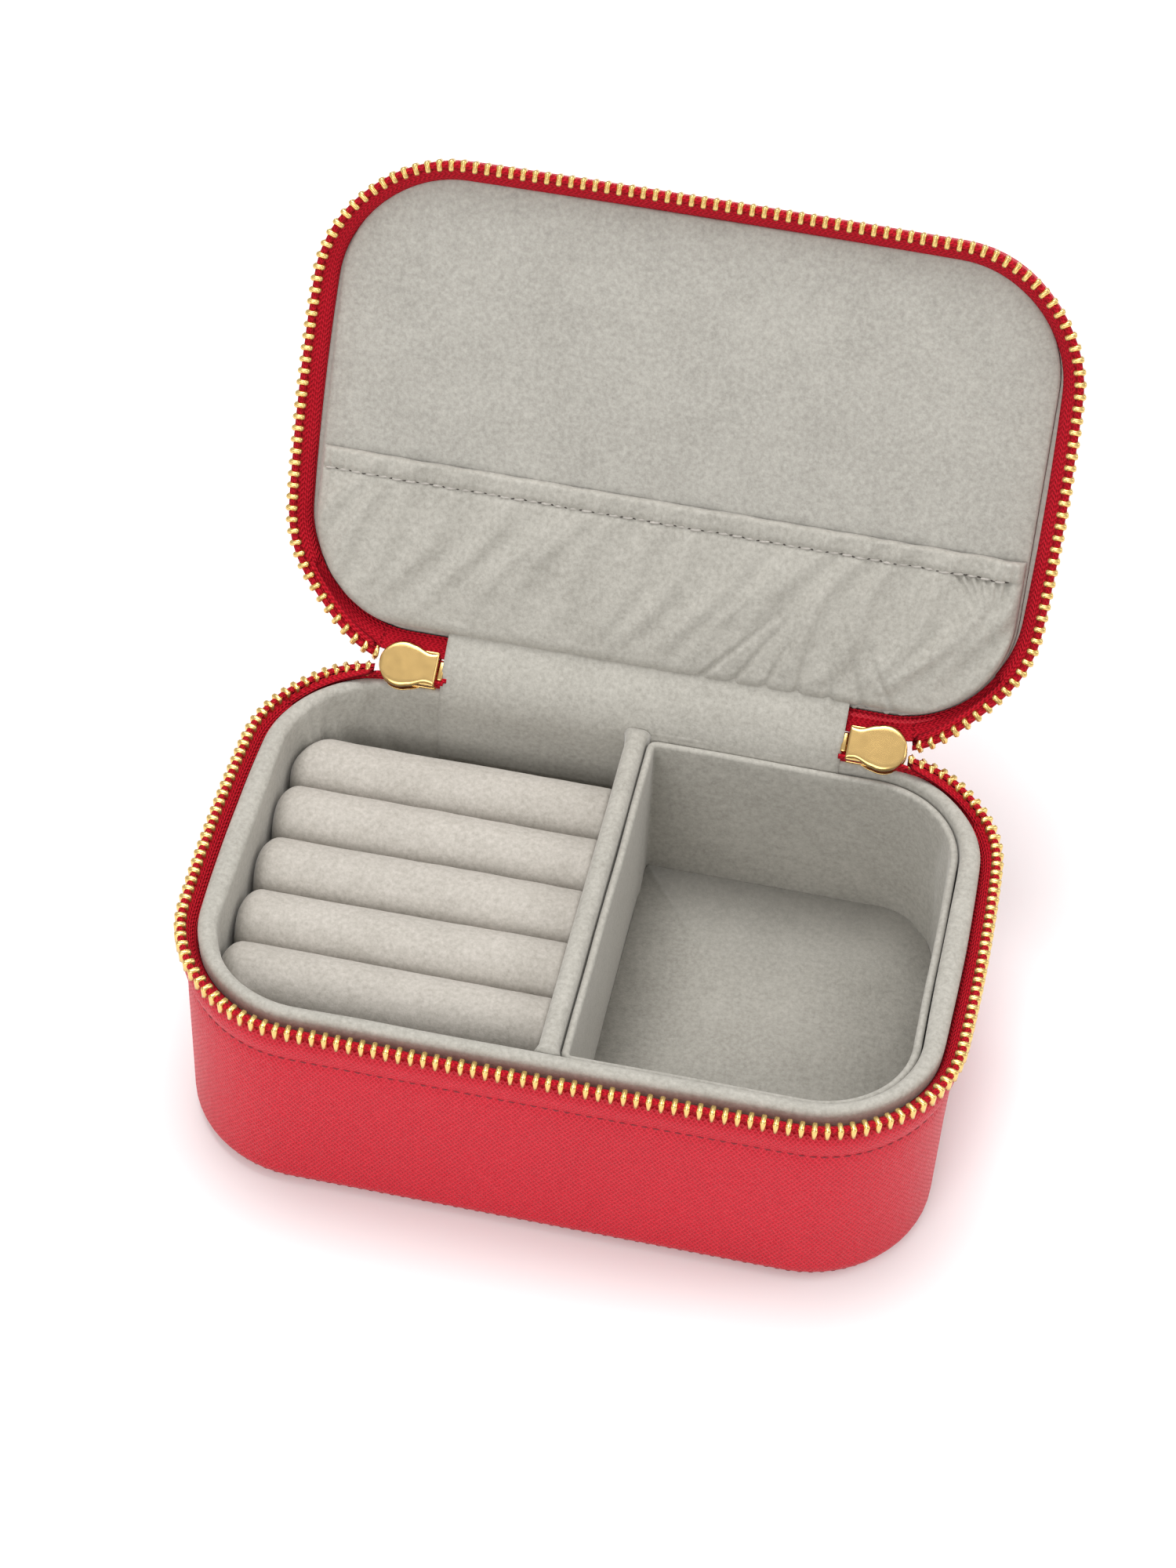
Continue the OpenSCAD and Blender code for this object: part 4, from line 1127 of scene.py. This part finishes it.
# ---- Zip ends ----
# Past the sliders, the last of the tapes stays joined by a few closed teeth and a brass
# stop on each side. Small gussets of tape reach from there to both walls.
slider_gold = gold("slider_gold", (0.66, 0.44, 0.17, 1), 0.17)
zip_y = body_d / 2 + zip_out
slider_x = 33.5 * mm
slider_l = 9.5 * mm
stop_x = 32.95 * mm
gusset_start = 32.3 * mm
gusset_end = 56.5 * mm


def bar(bm, size, spot, soft):
    """A small block with softened edges."""
    block = bmesh.new()
    bmesh.ops.create_cube(block, size=1)
    bmesh.ops.scale(block, vec=size, verts=block.verts)
    softened(block, block.edges[:], soft, 3)
    bmesh.ops.translate(block, vec=spot, verts=block.verts)
    mesh = bpy.data.meshes.new("block")
    block.to_mesh(mesh)
    block.free()
    bm.from_mesh(mesh)
    bpy.data.meshes.remove(mesh)


for side, s in (("left", -1), ("right", 1)):
    bm, run, rise = grained_grid(14, 10)
    for v in bm.verts:
        x = s * (35.8 * mm + v.co.x * 4.0 * mm)
        v[run], v[rise] = x, v.co.y * (2.2 + 0.5 * v.co.x) * mm
        v.co = Vector((x, zip_y, part_z + v[rise]))
    thickened(bm, 0.4 * mm)
    swung(bm, 0.5)
    made(bm, f"zip_tail_tape_{side}", tape_red, "tape_red", f"zip_end_{side}", [f"zip_tail_{side}"])

    places = []
    for i in range(5):
        place = Matrix.Translation((s * (slider_x + (0.5 + 0.93 * i) * mm), zip_y, part_z))
        place = place @ Matrix.Rotation(math.pi / 2, 4, "Z")
        if i % 2:
            place = place @ Matrix.Rotation(math.pi, 4, "X")
        places.append(leant(0.5) @ place)
    made(repeated(one_tooth, places), f"zip_tail_teeth_{side}", zip_gold, "zip_gold", f"zip_end_{side}")

    bm = bmesh.new()
    bar(bm, (0.9 * mm, 1.7 * mm, 3.2 * mm), (s * stop_x, zip_y, part_z), 0.25 * mm)
    swung(bm, 0.5)
    made(bm, f"stop_{side}", slider_gold, "slider_gold", f"zip_end_{side}", [f"zip_stop_{side}"])

    for body, other, up, turn in (("base", "lid", -1, 1), ("lid", "base", 1, -1)):
        own = leant(0 if body == "base" else 1)
        band_from, wall_from = part_z + up * 2.0 * mm, part_z + up * 3.6 * mm
        wall_spot = rear_spot(s * row_start, -1.75 * mm, wall_from)
        band_z = (leant(0.5 * turn) @ rear_spot(s * row_start, -0.2 * mm, band_from)).z
        steep = 0.5 / (band_z - wall_spot.z)
        fade = (0.5 + steep * (band_from - band_z)) / (row_split - row_start)
        for part, low, high, drift in (("in", gusset_start, row_start, 0),
                                       ("out", row_start, gusset_end, fade)):
            bm, run, rise = grained_grid(18, 8)
            for v in bm.verts:
                t = (v.co.y + 1) / 2
                x = s * (low + (high - low) * (v.co.x + 1) / 2)
                band = leant(lid_share(x) * turn) @ rear_spot(x, -0.2 * mm, band_from)
                wall = rear_spot(x, -1.75 * mm, wall_from)
                sag = math.sin(math.pi * t) * 0.4 * mm
                v[run], v[rise] = x, t * 4.4 * mm
                v.co = own @ band.lerp(wall, t) - Vector((0, 0, sag))
            thickened(bm, 0.35 * mm)
            gusset = made(bm, f"tape_gusset_{body}_{part}_{side}", tape_red, "tape_red")
            slope = Vector((-s * drift, 0, steep))
            start = own @ wall_spot
            end = start + own.to_3x3() @ slope / slope.length_squared
            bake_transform(gusset, body, other, start, end)

# ---- Sliders ----
# Each polished brass slider has two keyhole plates joined by a post and side rails, with an
# arched bar on the outer plate. The round head faces the open teeth.


def plate_half(t):
    """Half the plate's width at a share t of its length, from the square tail to the round head."""
    head = math.sqrt(max(0.0, 1 - ((t - 0.61) / 0.39) ** 2)) * 3.75 * mm if t > 0.22 else 0.0
    if t > 0.46:
        return head
    neck = max(0.0, min(1.0, (t - 0.14) / 0.32))
    neck = neck * neck * (3 - 2 * neck)
    flare = 0.3 * max(0.0, 1 - t / 0.2) ** 2
    return (2.5 + flare) * mm * (1 - neck) + 3.46 * mm * neck


def plate(bm, y_face, outward):
    """One keyhole plate with a soft bevelled rim, its face at y_face."""
    rim_w = 0.55 * mm
    fresh = bmesh.ops.create_grid(bm, x_segments=44, y_segments=16, size=1)["verts"]
    for v in fresh:
        t = math.sin(v.co.x * math.pi / 2) / 2 + 0.5
        w = math.sin(v.co.y * math.pi / 2)
        half = plate_half(t)
        rim = max(0.0, (abs(w) * half - (half - rim_w)) / rim_w) if half > 0.6 * mm else 1.0
        rim = max(rim, (t * slider_l - slider_l + rim_w) / rim_w, 1 - t * slider_l / (0.4 * mm))
        drop = 0.42 * mm * (1 - math.sqrt(max(0.0, 1 - min(1.0, rim) ** 2)))
        v.co = Vector((t * slider_l, y_face + outward * (0.12 * mm - drop), w * half))
    faces = list({f for v in fresh for f in v.link_faces})
    grown = bmesh.ops.extrude_face_region(bm, geom=faces, use_keep_orig=True)["geom"]
    for v in verts_of(grown):
        v.co.y = y_face - outward * 0.62 * mm


for side, s in (("left", -1), ("right", 1)):
    bm = bmesh.new()
    plate(bm, 1.6 * mm, 1)
    plate(bm, -1.6 * mm, -1)
    bmesh.ops.remove_doubles(bm, verts=bm.verts, dist=0.004 * mm)
    bar(bm, Vector((1.5, 2.2, 1.3)) * mm, Vector((8.1, 0, 0)) * mm, 0.3 * mm)
    for k in (-1, 1):
        for y in (1.0, -1.0):
            bar(bm, Vector((3.8, 0.75, 0.55)) * mm, Vector((2.0, y, 2.55 * k)) * mm, 0.12 * mm)
    for x in (2.85, 6.35):
        bar(bm, Vector((0.9, 3.0, 1.1)) * mm, Vector((x, 2.75, 0)) * mm, 0.28 * mm)
    bar(bm, Vector((4.4, 0.75, 1.1)) * mm, Vector((4.6, 3.9, 0)) * mm, 0.28 * mm)
    for v in bm.verts:
        v.co = Vector((s * (slider_x + v.co.x), zip_y + v.co.y, part_z + v.co.z))
    swung(bm, 0.5)
    made(bm, f"slider_plates_{side}", slider_gold, "slider_gold", f"slider_body_{side}",
         [f"slider_{side}"])

# ---- Pulls ----
# A wire ring hangs from each slider's bar, and a long drop-shaped brass tab hangs from the
# ring, with a fine raised rim round its plain face.
for side, s in (("left", -1), ("right", 1)):
    low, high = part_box(f"pull_ring_{side}")
    centre = (low + high) / 2
    bm = bmesh.new()
    circle = bmesh.ops.create_circle(bm, segments=12, radius=0.36 * mm)["verts"]
    bmesh.ops.translate(bm, vec=(2.0 * mm, 0, 0), verts=circle)
    bmesh.ops.rotate(bm, cent=(0, 0, 0), matrix=Matrix.Rotation(math.pi / 2, 3, "X"), verts=circle)
    bmesh.ops.spin(bm, geom=bm.edges[:], cent=(0, 0, 0), axis=(0, 0, 1), angle=2 * math.pi, steps=40,
                   use_merge=True)
    bmesh.ops.rotate(bm, cent=(0, 0, 0), matrix=Matrix.Rotation(math.pi / 2, 3, "Y"), verts=bm.verts)
    bmesh.ops.translate(bm, vec=centre, verts=bm.verts)
    bmesh.ops.remove_doubles(bm, verts=bm.verts, dist=0.004 * mm)
    made(bm, f"pull_wire_{side}", slider_gold, "slider_gold", f"ring_{side}", [f"pull_ring_{side}"])

    swing = next(j for j in frame["joints"] if j["name"] == f"pull_swing_{side}")
    eye, foot = -0.6 * mm, -13.3 * mm
    bm = bmesh.new()
    bmesh.ops.create_circle(bm, segments=48, radius=1.05 * mm)
    first = bm.edges[:]
    loop = first
    reach = foot - eye
    for in_hole, size, z in ((True, 1.05, 0.6), (True, 1.2, 0.7), (False, 0.45, 0.7),
                             (False, 0.34, 0.8), (False, 0.14, 0.8), (False, 0, 0.66),
                             (False, 0, 0.14), (False, 0.14, 0), (False, 0.34, 0),
                             (False, 0.45, 0.1), (True, 1.2, 0.1), (True, 1.05, 0.2)):
        loop, verts = next_ring(bm, loop)
        for v in verts:
            at_foot = v.co.y < reach / 2
            a = math.atan2(v.co.x, v.co.y - (reach if at_foot else 0))
            if in_hole:
                middle, radius = 0, size * mm
            elif abs(a) < math.radians(96):
                middle, radius = 0, (1.75 - size) * mm
            else:
                middle, radius = reach, (2.7 - size) * mm
            v.co = Vector((radius * math.sin(a), middle + radius * math.cos(a), z * mm))
    bmesh.ops.bridge_loops(bm, edges=first + loop)
    place = (Matrix.Translation(swing["pos_m"]) @ Matrix.Rotation(math.radians(18), 4, "X")
             @ Matrix.Translation((0, 0.4 * mm, 0)) @ Matrix.Rotation(math.pi / 2, 4, "X")
             @ Matrix.Translation((0, eye, 0)))
    bmesh.ops.transform(bm, matrix=place, verts=bm.verts)
    made(bm, f"pull_drop_{side}", slider_gold, "slider_gold", f"tab_{side}", [f"pull_tab_{side}"],
         smooth=False)

size = {"cad_box": [list(p) for p in cad_box], "visual_box": [list(p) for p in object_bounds()]}
